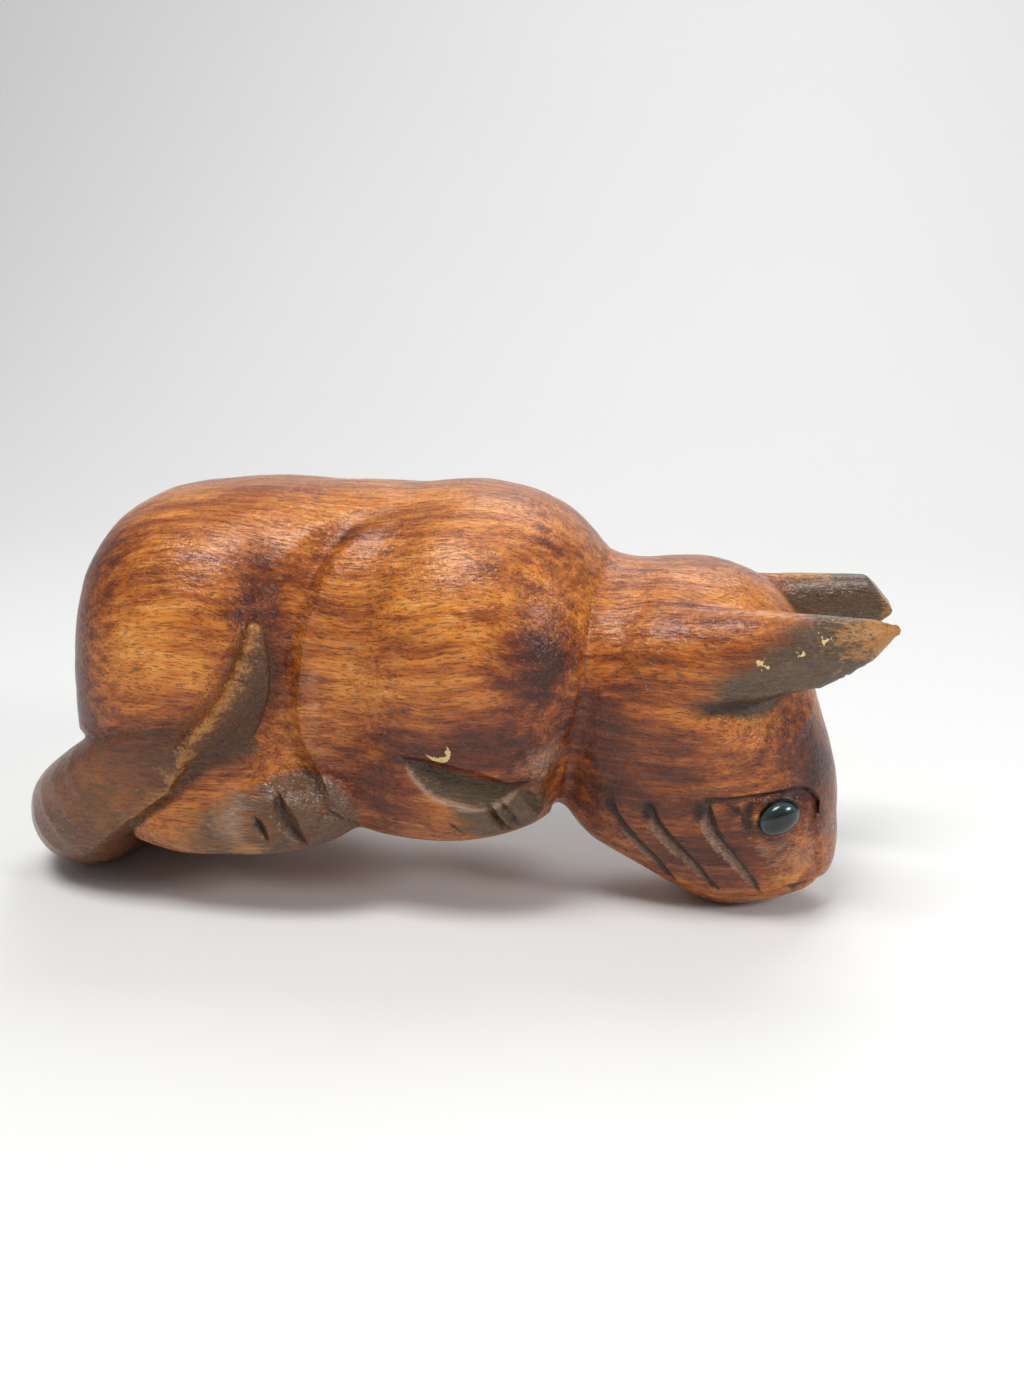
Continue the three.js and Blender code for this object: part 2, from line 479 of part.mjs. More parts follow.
// Merges the edges that matter least to the shape until few enough triangles are left. Each
// corner carries the summed squared distance to the planes round it, and a merged corner
// goes where that sum is least.
function thin({ points, faces }, wanted) {
  const sums = points.map(() => new Float64Array(10));
  const around = points.map(() => new Set());
  const normalOf = (p, q, r) => new THREE.Vector3().crossVectors(
    new THREE.Vector3(q[0] - p[0], q[1] - p[1], q[2] - p[2]),
    new THREE.Vector3(r[0] - p[0], r[1] - p[1], r[2] - p[2]));
  faces.forEach((face, f) => {
    const n = normalOf(...face.map((i) => points[i]));
    const area = n.length() / 2;
    n.normalize();
    const [x, y, z] = points[face[0]];
    const plane = [n.x, n.y, n.z, -(n.x * x + n.y * y + n.z * z)];
    for (const i of face) {
      let k = 0;
      for (let a = 0; a < 4; a++) {
        for (let b = a; b < 4; b++) {
          sums[i][k] += plane[a] * plane[b] * area;
          k += 1;
        }
      }
      around[i].add(f);
    }
  });
  const errorAt = (s, [x, y, z]) => s[0] * x * x + 2 * s[1] * x * y + 2 * s[2] * x * z + 2 * s[3] * x
    + s[4] * y * y + 2 * s[5] * y * z + 2 * s[6] * y + s[7] * z * z + 2 * s[8] * z + s[9];
  const bestPoint = (s, middle) => {
    const hold = (s[0] + s[4] + s[7]) * THIN_HOLD + 1e-9;
    const m = new THREE.Matrix3(s[0] + hold, s[1], s[2], s[1], s[4] + hold, s[5], s[2], s[5], s[7] + hold);
    const goal = new THREE.Vector3(hold * middle[0] - s[3], hold * middle[1] - s[6], hold * middle[2] - s[8]);
    return goal.applyMatrix3(m.invert()).toArray();
  };
  const neighbours = (i) => {
    const set = new Set();
    for (const f of around[i]) {
      faces[f].forEach((j) => set.add(j));
    }
    set.delete(i);
    return set;
  };
  const turnsOver = (i, other, goal) => [...around[i]].some((f) => {
    if (faces[f].includes(other)) {
      return false;
    }
    const before = normalOf(...faces[f].map((j) => points[j]));
    const after = normalOf(...faces[f].map((j) => (j === i ? goal : points[j])));
    return before.dot(after) < THIN_LEAST_AGREEMENT * before.length() * after.length();
  });
  let count = faces.length;
  while (count > wanted) {
    const edges = [];
    faces.forEach((face) => {
      if (!face) {
        return;
      }
      for (let k = 0; k < 3; k++) {
        const [a, b] = [face[k], face[(k + 1) % 3]];
        if (a < b) {
          const sum = sums[a].map((v, n) => v + sums[b][n]);
          const middle = points[a].map((v, n) => (v + points[b][n]) / 2);
          const goal = bestPoint(sum, middle);
          const length = Math.hypot(...points[a].map((v, n) => v - points[b][n]));
          edges.push({ a, b, sum, goal, cost: errorAt(sum, goal) + THIN_LENGTH_COST * length ** 4 });
        }
      }
    });
    edges.sort((p, q) => p.cost - q.cost);
    const done = new Set();
    const before = count;
    for (const { a, b, sum, goal } of edges.slice(0, Math.ceil(edges.length * THIN_SHARE_PER_ROUND))) {
      if (count <= wanted) {
        break;
      }
      if (done.has(a) || done.has(b)) {
        continue;
      }
      const [nearA, nearB] = [neighbours(a), neighbours(b)];
      const shared = [...nearA].filter((i) => nearB.has(i));
      if (shared.length !== 2 || turnsOver(a, b, goal) || turnsOver(b, a, goal)) {
        continue;
      }
      points[a] = goal;
      sums[a] = sum;
      for (const f of around[b]) {
        if (faces[f].includes(a)) {
          faces[f].forEach((i) => i !== b && around[i].delete(f));
          faces[f] = null;
          count -= 1;
        } else {
          faces[f] = faces[f].map((i) => (i === b ? a : i));
          around[a].add(f);
        }
      }
      around[b].clear();
      [a, b, ...nearA, ...nearB].forEach((i) => done.add(i));
    }
    if (count === before) {
      break;
    }
  }
  return { points, faces: faces.filter(Boolean) };
}

const wasm = await Module();
wasm.setup();

function toSolid(geometry) {
  const bare = geometry.clone();
  bare.deleteAttribute("normal");
  bare.deleteAttribute("uv");
  const merged = BufferGeometryUtils.mergeVertices(bare, 1e-4);
  return new wasm.Manifold(new wasm.Mesh({
    numProp: 3,
    vertProperties: new Float32Array(merged.attributes.position.array),
    triVerts: new Uint32Array(merged.index.array),
  }));
}

function toGeometry(solid) {
  const mesh = solid.getMesh();
  const geometry = new THREE.BufferGeometry();
  geometry.setAttribute("position", new THREE.BufferAttribute(new Float32Array(mesh.vertProperties), 3));
  geometry.setIndex(new THREE.BufferAttribute(new Uint32Array(mesh.triVerts), 1));
  geometry.computeVertexNormals();
  return geometry;
}

// A lens for the eye on one side (-1 is the cat's right), or, grown, the socket that holds it.
function eyeGeometry(side, grown = 0) {
  const mirrored = ([x, y, z]) => new THREE.Vector3(x, y * side, z);
  const look = mirrored(EYE_LOOK).normalize();
  const slant = mirrored(EYE_SLANT);
  slant.addScaledVector(look, -slant.dot(look)).normalize();
  const upright = new THREE.Vector3().crossVectors(slant, look);
  const geometry = new THREE.SphereGeometry(1, EYE_SIDES, EYE_RINGS);
  geometry.scale(EYE_LENGTH / 2 + grown, EYE_THICKNESS / 2 + grown, EYE_HEIGHT / 2 + grown);
  geometry.applyMatrix4(new THREE.Matrix4().makeBasis(slant, look, upright));
  geometry.translate(EYE_AT[0], EYE_AT[1] * side, EYE_AT[2]);
  return geometry;
}

function catGeometry() {
  const { points, faces } = thin(outerSkin(skinOf(carving)), SKIN_TRIANGLES);
  const geometry = new THREE.BufferGeometry();
  geometry.setAttribute("position", new THREE.Float32BufferAttribute(points.flat(), 3));
  geometry.setIndex(faces.flat());
  const under = new THREE.BoxGeometry(TABLE, TABLE, TABLE);
  under.translate(0, 0, -TABLE / 2);
  let solid = toSolid(geometry).subtract(toSolid(under));
  for (const side of [-1, 1]) {
    solid = solid.subtract(toSolid(eyeGeometry(side, EYE_CLEARANCE)));
  }
  return toGeometry(solid);
}

const wood = new THREE.MeshStandardMaterial({ color: 0x8a4a20, roughness: 0.42, metalness: 0 });
const glass = () => new THREE.MeshStandardMaterial({ color: 0x1c2b2f, roughness: 0.08, metalness: 0 });

const cat = new THREE.Mesh(catGeometry(), wood);
cat.name = "cat";
const rightEye = new THREE.Mesh(eyeGeometry(-1), glass());
rightEye.name = "right_eye";
const leftEye = new THREE.Mesh(eyeGeometry(1), glass());
leftEye.name = "left_eye";

// The origin is on the table, under the middle of the cat's length and width.
const sculpture = new THREE.Group();
sculpture.add(cat, rightEye, leftEye);
sculpture.position.set(-MIDDLE[0], -MIDDLE[1], 0);

export default sculpture;
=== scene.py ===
import math

import bpy
import numpy as np
from mathutils import Matrix, Vector


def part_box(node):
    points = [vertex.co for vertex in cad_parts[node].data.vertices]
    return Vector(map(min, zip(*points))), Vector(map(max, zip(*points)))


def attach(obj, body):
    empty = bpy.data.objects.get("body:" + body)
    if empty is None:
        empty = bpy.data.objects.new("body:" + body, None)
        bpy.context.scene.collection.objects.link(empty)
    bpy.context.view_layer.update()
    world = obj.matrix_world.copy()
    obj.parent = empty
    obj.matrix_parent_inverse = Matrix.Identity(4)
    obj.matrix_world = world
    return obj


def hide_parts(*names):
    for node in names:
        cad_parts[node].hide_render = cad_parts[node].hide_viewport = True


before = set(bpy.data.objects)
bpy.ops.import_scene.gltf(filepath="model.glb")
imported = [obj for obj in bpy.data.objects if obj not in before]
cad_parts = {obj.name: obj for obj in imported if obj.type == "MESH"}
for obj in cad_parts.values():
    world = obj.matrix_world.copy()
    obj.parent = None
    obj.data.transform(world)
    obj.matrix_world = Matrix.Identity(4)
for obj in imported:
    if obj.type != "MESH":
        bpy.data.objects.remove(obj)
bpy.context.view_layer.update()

# The cat's body: a crouching cat carved from one block of hardwood. It is roughed out as
# rounded masses, cut along the limbs, cheeks and brows with a V gouge, sanded, stained dark
# in the cuts and on ears, tail and paws, and varnished. The dark in the cuts also carries
# painted shade. Millimetres, head along +X.
RUMP = dict(at=(-76, 0, 61.2), half=(40, 42, 49.2), lean=-4, square=2.6)
TORSO = dict(at=(-36, 0, 67), half=(60, 38, 44.5), lean=0, square=2.4)
HAUNCH = dict(at=(-82, 19, 60), half=(30, 27, 43), lean=6, square=2.3)
SHOULDER = dict(at=(-10, 0, 66.5), half=(40.5, 45, 46), lean=10, square=2.2)
FOREARM = dict(at=(-14, 20, 36), half=(30.5, 20, 15), lean=-5, square=2.2)
NECK = dict(at=(27, 0, 62), half=(22, 31, 31), lean=0, square=2)
SKULL = dict(at=(46, 0, 60.5), half=(34, 34, 33.5), lean=0, square=2.25)
FACE = dict(at=(63, 0, 28.5), half=(26, 27, 30), lean=0, square=2.15)
JAW = dict(at=(41, 0, 38), half=(28, 26, 27), lean=20, square=2.2)
NOSE = dict(at=(77.2, 0, 15.5), half=(11.2, 13, 10.5), lean=0, square=2.3)
HIND_FOOT = dict(at=(-62, 33, 29), half=(28, 11.5, 11.3), lean=-7, square=2.2)
HEEL = dict(at=(-86, 29, 28), half=(16, 13, 11), lean=0, square=2.2)
EAR_HOLLOW = dict(at=(82, 23, 68.5), half=(12, 2.8, 7), lean=-14, square=2)
# How softly each joint between masses is rounded.
BLEND = dict(back=10, haunch=8, shoulder=3, arm=8, neck=6, head=5, brow=14, jaw=12, nose=6,
             chin=7, ear=2.5, chip=1, hollow=1.5, heel=6, foot=4, tail=1.2)
# The muzzle narrows below this height, by this share at the table, and a flat plane is pared
# off under the nose: a point on it and its outward direction.
MUZZLE_TOP, MUZZLE_NARROWING = 36, 0.2
CHIN_AT, CHIN_OUT = np.array([69, 0, -1.1]), np.array([0.284, 0, -0.959])
# Only points this near the skin are cut and sanded. The ears lie ahead of EARS_FROM, and the
# tail behind TAIL_TO and below TAIL_TOP.
SKIN_REACH, EARS_FROM, TAIL_TO, TAIL_TOP = 8, 20, -45, 90
# What carries the carving's own places to the frame, whose origin is under its middle.
TABLE_MIDDLE = np.array([17.25, 1.11, 0.0])


def mass(p, at, half, lean, square):
    """How far points lie outside a rounded mass: |u|^n + |v|^n + |w|^n = 1 for the leaned and
    halved coordinates; its n-th root less one, over the length of its slope."""
    cos, sin = math.cos(math.radians(lean)), math.sin(math.radians(lean))
    x, y, z = (p - np.array(at, float)).T
    u = np.abs(x * cos - z * sin) / half[0]
    v = np.abs(y) / half[1]
    w = np.abs(x * sin + z * cos) / half[2]
    size = (u ** square + v ** square + w ** square) ** (1 / square)
    slope = np.sqrt((u / half[0]) ** 2 + (v / half[1]) ** 2 + (w / half[2]) ** 2) + 1e-9
    return (size - 1) * np.sqrt(u * u + v * v + w * w) / slope


def blend(a, b, soft):
    """The nearer of two masses, with the joint rounded: their least value, less a quarter of
    soft times the square of how closely they agree."""
    near = np.maximum(soft - np.abs(a - b), 0) / soft
    return np.minimum(a, b) - near * near * soft / 4


def pare(a, b, soft):
    """What is left of a when everything outside b is pared away, with a rounded edge."""
    return -blend(-a, -b, soft)


def through(stations, steps):
    """The Catmull-Rom curve through the stations, as rows evenly spaced between each two."""
    s = np.array(stations, float)
    p = np.vstack([2 * s[0] - s[1], s, 2 * s[-1] - s[-2]])
    t = np.linspace(0, len(s) - 1, steps + 1)
    i = np.minimum(t.astype(int), len(s) - 2)
    u = (t - i)[:, None]
    a, b, c, d = p[i], p[i + 1], p[i + 2], p[i + 3]
    return (2 * b + (c - a) * u + (2 * a - 5 * b + 4 * c - d) * u ** 2
            + (3 * b - a - 3 * c + d) * u ** 3) / 2


def nearest_on(chain, p, across=1.0):
    """The nearest place on a chain of straight steps, for each point: distance, place, which
    side of the line as seen along Y, the chain's row there and the step's direction. Y counts
    by the share across."""
    weigh = np.array([1.0, across, 1.0])
    best, place, side = np.full(len(p), np.inf), np.zeros(len(p)), np.zeros(len(p))
    for i, (a, b) in enumerate(zip(chain[:-1], chain[1:])):
        along = (b - a)[:3] * weigh
        off = (p - a[:3]) * weigh
        t = np.clip(off @ along / (along @ along), 0, 1)
        far = ((off - t[:, None] * along) ** 2).sum(1)
        nearer = far < best - 1e-9
        best = np.where(nearer, far, best)
        place = np.where(nearer, i + t, place)
        side = np.where(nearer, along[0] * off[:, 2] - along[2] * off[:, 0], side)
    i = np.minimum(place.astype(int), len(chain) - 2)
    t = (place - i)[:, None]
    row = chain[i] * (1 - t) + chain[i + 1] * t
    return np.sqrt(best), place, side, row, (chain[i + 1] - chain[i])[:, :3]


def both_sides(p):
    """The same points with each one moved to the cat's left side."""
    return np.stack([p[:, 0], np.abs(p[:, 1]), p[:, 2]], 1)


def bell(p, at, half):
    """A bell curve of the distance from one place, by its half sizes."""
    return np.exp(-(((p - np.array(at)) / np.array(half)) ** 2).sum(1))


def bells(p, places):
    """The greatest of the bell curves of several places, each given by its place, its half
    sizes and, where it isn't 1, its strength."""
    return np.max([math.prod(strength) * bell(p, at, half) for at, half, *strength in places], 0)


# The tail lies round the cat's right side. It is round at its bend and has two flat faces
# meeting in a long ridge towards its tip. Stations are x, y, z and radius.
TAIL_STEPS = 30
TAIL = through([
    (-78, 30, 24, 9), (-94, 33, 15, 12.5), (-112, 17, 15, 15.4), (-119.5, -3, 15.8, 16.4),
    (-115, -19, 22, 15.6), (-102, -30.5, 33, 14.8), (-85.5, -36.5, 44.5, 13),
    (-73, -39.2, 53.5, 10.8), (-66, -39.8, 61.5, 8.8), (-62, -40, 69.5, 6.4),
    (-59.5, -40.2, 79, 2.6)], TAIL_STEPS)
# The ridge starts and is full at these steps. It faces these degrees below sideways at the
# bend, along the middle and at the tip.
RIDGE_FROM, RIDGE_FULL, RIDGE_TURN, RIDGE_FACING = 12, 17, (18, 21), (52, 0, -16)
RIDGE_HEIGHT, RIDGE_STEEP, RIDGE_WIDTH, RIDGE_EDGE = 0.85, 0.65, 1.05, 2.3
# A groove this deep and this wide parts the tail from the body all round.
TAIL_GROOVE_DEPTH, TAIL_GROOVE_WIDTH = 1.3, 3.2


def tail(p):
    """Distance from the tail, how close a point is to its ridge, and how far to one side of the
    ridge it is. Round, the distance is from the middle line, less the radius; ridged, it is
    height plus sideways reach."""
    far, place, _, row, along = nearest_on(TAIL, p)
    low, level, up = RIDGE_FACING
    start, end = RIDGE_TURN
    facing = np.radians(low + (level - low) * np.clip((place - start) / (end - start), 0, 1)
                        + (up - level) * np.clip((place - end) / (TAIL_STEPS - end), 0, 1))
    axis = along / np.linalg.norm(along, axis=1, keepdims=True)
    out = np.stack([0 * facing, -np.cos(facing), -np.sin(facing)], 1)
    out -= axis * (out * axis).sum(1, keepdims=True)
    out /= np.linalg.norm(out, axis=1, keepdims=True)
    off = p - row[:, :3]
    beside = (off * np.cross(axis, out)).sum(1)
    height = (off * out).sum(1) / RIDGE_HEIGHT
    bulk = far - row[:, 3]
    faces = RIDGE_STEEP * (height + np.abs(beside) - RIDGE_WIDTH * row[:, 3])
    share = np.clip((place - RIDGE_FROM) / (RIDGE_FULL - RIDGE_FROM), 0, 1)
    return bulk * (1 - share) + np.maximum(faces, bulk) * share, share * (height > 0) * np.exp(
        -(beside / RIDGE_EDGE) ** 2), np.where(height > 0, beside, 0) * share


# The ears are tapering cones, flattened sideways. The left one has lost its point, where two
# broken faces meet. Stations are x, y, z and radius.
EAR_STEPS = 15
EARS = {
    -1: through([(42, -24, 71, 13), (62, -25.5, 73.5, 13.3), (74, -25.2, 75.5, 10.8),
                 (86, -23.8, 78, 7.8), (93.5, -22.5, 80.5, 4.6), (98, -21.5, 82, 1.5)], EAR_STEPS),
    1: through([(42, 24, 71, 13), (62, 25.5, 72.7, 13), (74, 25.2, 75.2, 10.7),
                (86, 23.8, 77.8, 8.9), (94, 22.5, 79.2, 7.8), (103, 21, 79.6, 7)], EAR_STEPS),
}
EAR_THINNESS = 1.5
CHIP_POINT, CHIP_FACES = (102, 78), ((0.75, 0.66), (0.72, -0.69))


def ears(p):
    """Distance from the ears: along Y a point is measured from the ear's own middle line and
    counts by the thinness; the hollow in front is pared out, and the left tip is broken off."""
    d = np.full(len(p), np.inf)
    for side, chain in EARS.items():
        on = p[:, 1] * side >= 0
        q = p[on]
        middle = np.interp(q[:, 0], chain[:, 0], chain[:, 1])
        flat = chain * np.array([1, 0, 1, 1])
        thick = (q[:, 1] - middle) * EAR_THINNESS
        far, _, _, row, _ = nearest_on(flat, np.stack([q[:, 0], thick, q[:, 2]], 1))
        ear = (far - row[:, 3]) / math.sqrt(EAR_THINNESS)
        if side > 0:
            for out_x, out_z in CHIP_FACES:
                broken = out_x * (q[:, 0] - CHIP_POINT[0]) + out_z * (q[:, 2] - CHIP_POINT[1])
                ear = pare(ear, broken, BLEND["chip"])
        d[on] = ear
    return pare(d, -mass(both_sides(p), **EAR_HOLLOW), BLEND["hollow"])


# Cuts of the V gouge, on both sides: how steeply the walls rise above or ahead of the line and
# below or behind it, how much dark stain and painted shade the cut holds, then stations of x,
# distance from the middle, z and depth.
CUTS = {
    "flank_crease": (0.85, 0.34, 0.5, [(-18, 19, 109, 0.1), (-26, 21.5, 107, 0.9),
        (-36.5, 25, 104, 1.8), (-43.8, 31.7, 96.5, 2.6), (-49.2, 37.6, 84, 3.2),
        (-51.7, 39.7, 75, 3.6), (-53.3, 40.6, 62, 3.6), (-52.3, 39.5, 51.5, 3.4),
        (-47.5, 37.4, 40, 2.8), (-38, 36, 31, 1.2), (-32, 33, 26, 0)]),
    "flank_line": (1.4, 1.4, 1.6, [(-28, 22, 106, 0.1), (-36.5, 25, 104, 1.1),
        (-43.8, 31.7, 96.5, 1.2), (-47.5, 36, 88, 0.3)]),
    "neck_crease": (0.25, 0.6, 0.5, [(25.5, 2, 96.5, 0.3), (24.2, 18, 92.3, 0.6),
        (23, 27.5, 82.8, 0.9), (22.9, 31, 73.4, 1.1), (22.2, 32, 63, 1.2),
        (19.5, 30.5, 50, 1.6), (16.5, 29, 39, 3), (14, 26, 31, 2)]),
    "paw_gouge": (1.5, 0.62, 0.7, [(-23, 41, 49, 0), (-17.5, 41.7, 47.2, 3),
        (-12.1, 41.8, 45.3, 4.5), (-4.6, 41.2, 43, 4.9), (1, 40, 41.5, 4.1), (5, 38, 41.5, 1.8),
        (9, 35, 42.5, 0.5)]),
    "fore_toe_1": (1.9, 1.7, 0.45, [(-4, 41, 41.5, 0.3), (-0.5, 39, 36, 2.0), (2.6, 34.5, 30, 2.1),
        (5, 30, 26, 0.7)]),
    "fore_toe_2": (1.9, 1.7, 0.45, [(-0.2, 40.8, 42, 0.3), (3.6, 38.5, 35.5, 2.0),
        (6.6, 33, 29, 2.0), (8.6, 29, 25.5, 0.6)]),
    "fore_toe_3": (1.4, 1.2, 0.7, [(5.6, 38.7, 42.5, 0.4), (9.5, 36, 38, 2.2), (13, 30.5, 32, 2),
        (14, 26, 27.5, 0.6)]),
    "hind_toe_1": (0.9, 1.3, 0.95, [(-54.7, 41, 38.5, 0.3), (-53.4, 43, 33, 2.6),
        (-51, 43.5, 28, 2.8), (-47.5, 41, 23.5, 0.8)]),
    "hind_toe_2": (0.9, 1.3, 0.9, [(-60.3, 43.5, 32.5, 0.3), (-59, 44, 29, 1.8),
        (-57, 43.3, 25, 0.7)]),
    "ear_ledge": (0.9, 0.24, 1.3, [(48.5, 34.5, 60.6, 0), (56.5, 33.5, 62, 1.6),
        (63.7, 32, 63.3, 2.5), (70.9, 29.5, 64.6, 2.9), (79.4, 26.3, 65.6, 2.4)]),
    "cheek_1": (2.1, 0.85, 1.7, [(54.6, 30.5, 37.6, 1.2), (55.6, 29.3, 31.5, 3.0),
        (58, 28, 26, 3.1), (61.5, 26.8, 21.5, 3.0), (64, 26, 18, 2.8), (66.8, 23.5, 14, 2.4),
        (70, 18.7, 8.4, 1.0)]),
    "cheek_2": (2.1, 0.85, 1.7, [(40.3, 28.8, 35, 1.2), (42.6, 27.6, 28.5, 3.0),
        (47.4, 25.6, 22.5, 2.8), (51.3, 24.3, 18, 2.7), (54.8, 22.5, 13.5, 2.2),
        (58.5, 19, 9, 0.9)]),
    "cheek_3": (1.9, 0.8, 1.6, [(29.5, 26.3, 35, 0.6), (35.6, 23.8, 24.3, 2.2),
        (41.5, 20.9, 17.3, 2.2), (46.8, 15.2, 9.6, 0.9)]),
    "brow": (2.0, 0.36, 1.25, [(54.5, 30.3, 38.8, 0.6), (59, 29.8, 38, 1.8), (65, 28.3, 38.3, 2.4),
        (71.2, 26, 38.5, 2.6), (76.3, 23.3, 39.1, 2.5), (78.8, 21.7, 39, 2.2),
        (81.6, 19.3, 36.8, 1.9), (83.2, 18, 33.4, 1.5), (82.7, 19, 30, 1.1),
        (80.8, 20.5, 25.5, 0.2)]),
    "rear_lid": (1.3, 1.2, 1.5, [(67.8, 27.6, 37.4, 0.4), (65.3, 27.9, 34.8, 2.0),
        (64.9, 27.9, 30.8, 2.0), (66.4, 27.2, 27.2, 0.4)]),
    "brow_notch": (1.5, 1.3, 1.6, [(59.6, 29, 36.3, 0.6), (62.2, 29, 34.6, 2.0),
        (64.6, 28.6, 32.2, 1.2), (64.9, 28.4, 28.5, 0.2)]),
    "brow_spur": (1.5, 1.3, 1.4, [(66.2, 28.3, 36.9, 0.4), (64.9, 28.6, 34, 1.4),
        (64.6, 28.6, 32.2, 0.8)]),
    "mouth": (1.3, 1, 1.5, [(75.5, 16.2, 9.9, 0.4), (79.8, 12.2, 9.2, 2.4), (84, 9, 9, 2.5),
        (87.4, 4, 9.4, 2.1), (88.2, 0, 9.6, 1.9)]),
    "nose_crease": (0.6, 0.5, 0.35, [(82.7, 19, 30, 0.5), (83, 18.2, 24, 0.9), (84, 16, 18, 1.0),
        (84.5, 13, 12.5, 0.5)]),
    "paw_scratch": (0.9, 0.9, 1.2, [(-12, 40, 33, 0.1), (-9, 38, 29.5, 0.7), (-6, 35, 26, 0.1)]),
}
# Distances across the cat count by this share, so that a cut also bites where the skin lies a
# little in or out of its line.
REACH_ACROSS, CUT_STEPS_PER_STATION = 0.45, 3
# Dark stain and painted shade lie this close to a cut's line, and are full where the cut is
# this deep. Some cuts have their lower wall painted pale as lit (the paw's takes grey paint
# instead), and the paw's cut has a painted highlight along its edge too.
INK_AND_SHADE_WIDTH, INK_AND_SHADE_FULL_DEPTH = 1.35, 1.8
LOWER_WALL_CUTS, LOWER_WALL_FROM, LOWER_WALL_FADE = ("cheek_1", "cheek_2", "cheek_3", "paw_gouge"), 0.8, 0.5
RIM_DEPTH, RIM_WIDTH = 0.2, 0.55
# Shallow hollows pressed into the form on both sides: place, half sizes and depth.
HOLLOWS = [((-56, 40, 90), (9, 14, 12), 1.8), ((-55, 40, 66), (7, 14, 16), 1.6),
           ((73, 26, 31), (11, 10, 9), 1.3), ((63.6, 28.6, 34.2), (1.8, 4, 1.8), 1.3),
           ((50, 34, 24), (12, 14, 10), 0.8), ((52.6, 30, 34), (1.7, 5, 2.9), 1.6),
           ((39.6, 28.8, 32.8), (1.7, 5, 2.9), 1.4), ((29.6, 26, 33), (1.5, 5, 2.6), 0.8)]
# Painted shade darkens the notch at the head of each cheek cut.
NOTCHES = [((52.6, 30, 34.2), (1.6, 5, 2.6)), ((39.6, 28.8, 33), (1.6, 5, 2.6)),
           ((29.8, 26, 33.4), (1.3, 5, 2.2))]
CUT_LINES = {name: through(line, CUT_STEPS_PER_STATION * (len(line) - 1))
             for name, (*_, line) in CUTS.items()}
BROAD_FACET, FINE_FACET = 0.11, 0.05


def gouged(p):
    """Depth of the deepest cut at each point, the line's depth less the distance from it times
    the slope of the wall; the dark stain and painted shade at the foot of the walls, a bell
    curve of the distance; the lower walls, which on the cheeks are painted pale as lit; and the
    painted highlight on the edge below the paw's cut."""
    q = both_sides(p)
    depth, ink_and_shade, lower_walls, rim = np.zeros((4, len(p)))
    for name, (ahead, behind, stain, _) in CUTS.items():
        line = CUT_LINES[name]
        width = line[:, 3].max() / min(ahead, behind) + 1
        reach = np.array([width, width / REACH_ACROSS, width])
        near = ((q > line[:, :3].min(0) - reach) & (q < line[:, :3].max(0) + reach)).all(1)
        if near.any():
            far, _, side, row, _ = nearest_on(line, q[near], REACH_ACROSS)
            cut = row[:, 3] - far * np.where(side > 0, ahead, behind)
            depth[near] = np.maximum(depth[near], cut)
            # Dark stain and painted shade gather at the foot of the walls.
            thin = np.exp(-(far / INK_AND_SHADE_WIDTH) ** 2) * np.minimum(row[:, 3] / INK_AND_SHADE_FULL_DEPTH, 1)
            ink_and_shade[near] = np.maximum(ink_and_shade[near], (cut > 0) * stain * thin)
            lower = (side < 0) * np.clip(row[:, 3] - LOWER_WALL_FROM, 0, 1)
            # The lower wall of the cheek cuts is painted pale as lit; on the paw it marks the grey
            # facet.
            if name in LOWER_WALL_CUTS:
                lower_walls[near] = np.maximum(lower_walls[near], np.clip(cut / LOWER_WALL_FADE, 0, 1) * lower)
            if name == "paw_gouge":
                # A painted highlight along the lower edge of the paw's cut.
                rim[near] = lower * np.exp(-((cut - RIM_DEPTH) / RIM_WIDTH) ** 2)
    return depth, np.clip(ink_and_shade, 0, 1), lower_walls, rim


def pressed(p):
    """Depth of the shallow hollows: each is its depth times a bell curve of the distance."""
    q = both_sides(p)
    return sum(deep * bell(q, at, half) for at, half, deep in HOLLOWS)


def sanded(p):
    """The low, soft facets that knife and sanding leave: products of sines 11 to 17 mm long."""
    x, y, z = p.T
    first = np.sin(x / 4.3 + 1.4 * np.sin(z / 9.1)) * np.sin(z / 3.7 + y / 6.3)
    second = np.sin(x / 2.4 - z / 3.1 + 0.7) * np.sin(z / 2.6 + y / 3.3 + x / 7.0)
    return BROAD_FACET * first + FINE_FACET * second


# Each eye is set in a socket that follows its oval, inside a low raised lid whose crest lies
# LID_FROM_LENS outside the lens.
EYE_AT, EYE_HALF = np.array([73, 25, 32.4]), np.array([5.6, 2.8, 4.3])
EYE_LOOK, EYE_SLANT = np.array([0.42, 0.9, -0.1]), np.array([0.815, -0.355, 0.46])
EYE_CLEARANCE, LID_HEIGHT, LID_FROM_LENS, LID_WIDTH = 0.25, 0.55, 0.9, 0.8


def eye_axes():
    """The left eye's own long, outward and upright directions."""
    look = EYE_LOOK / np.linalg.norm(EYE_LOOK)
    slant = EYE_SLANT - look * (EYE_SLANT @ look)
    slant /= np.linalg.norm(slant)
    return np.stack([slant, look, np.cross(slant, look)])


def from_eye(p):
    """Distance outside the eye's lens, an ellipsoid on its own three axes."""
    q = (both_sides(p) - EYE_AT) @ eye_axes().T
    size = np.sqrt(((q / EYE_HALF) ** 2).sum(1)) + 1e-9
    slope = np.sqrt(((q / EYE_HALF ** 2) ** 2).sum(1)) + 1e-9
    return (size - 1) * size / slope


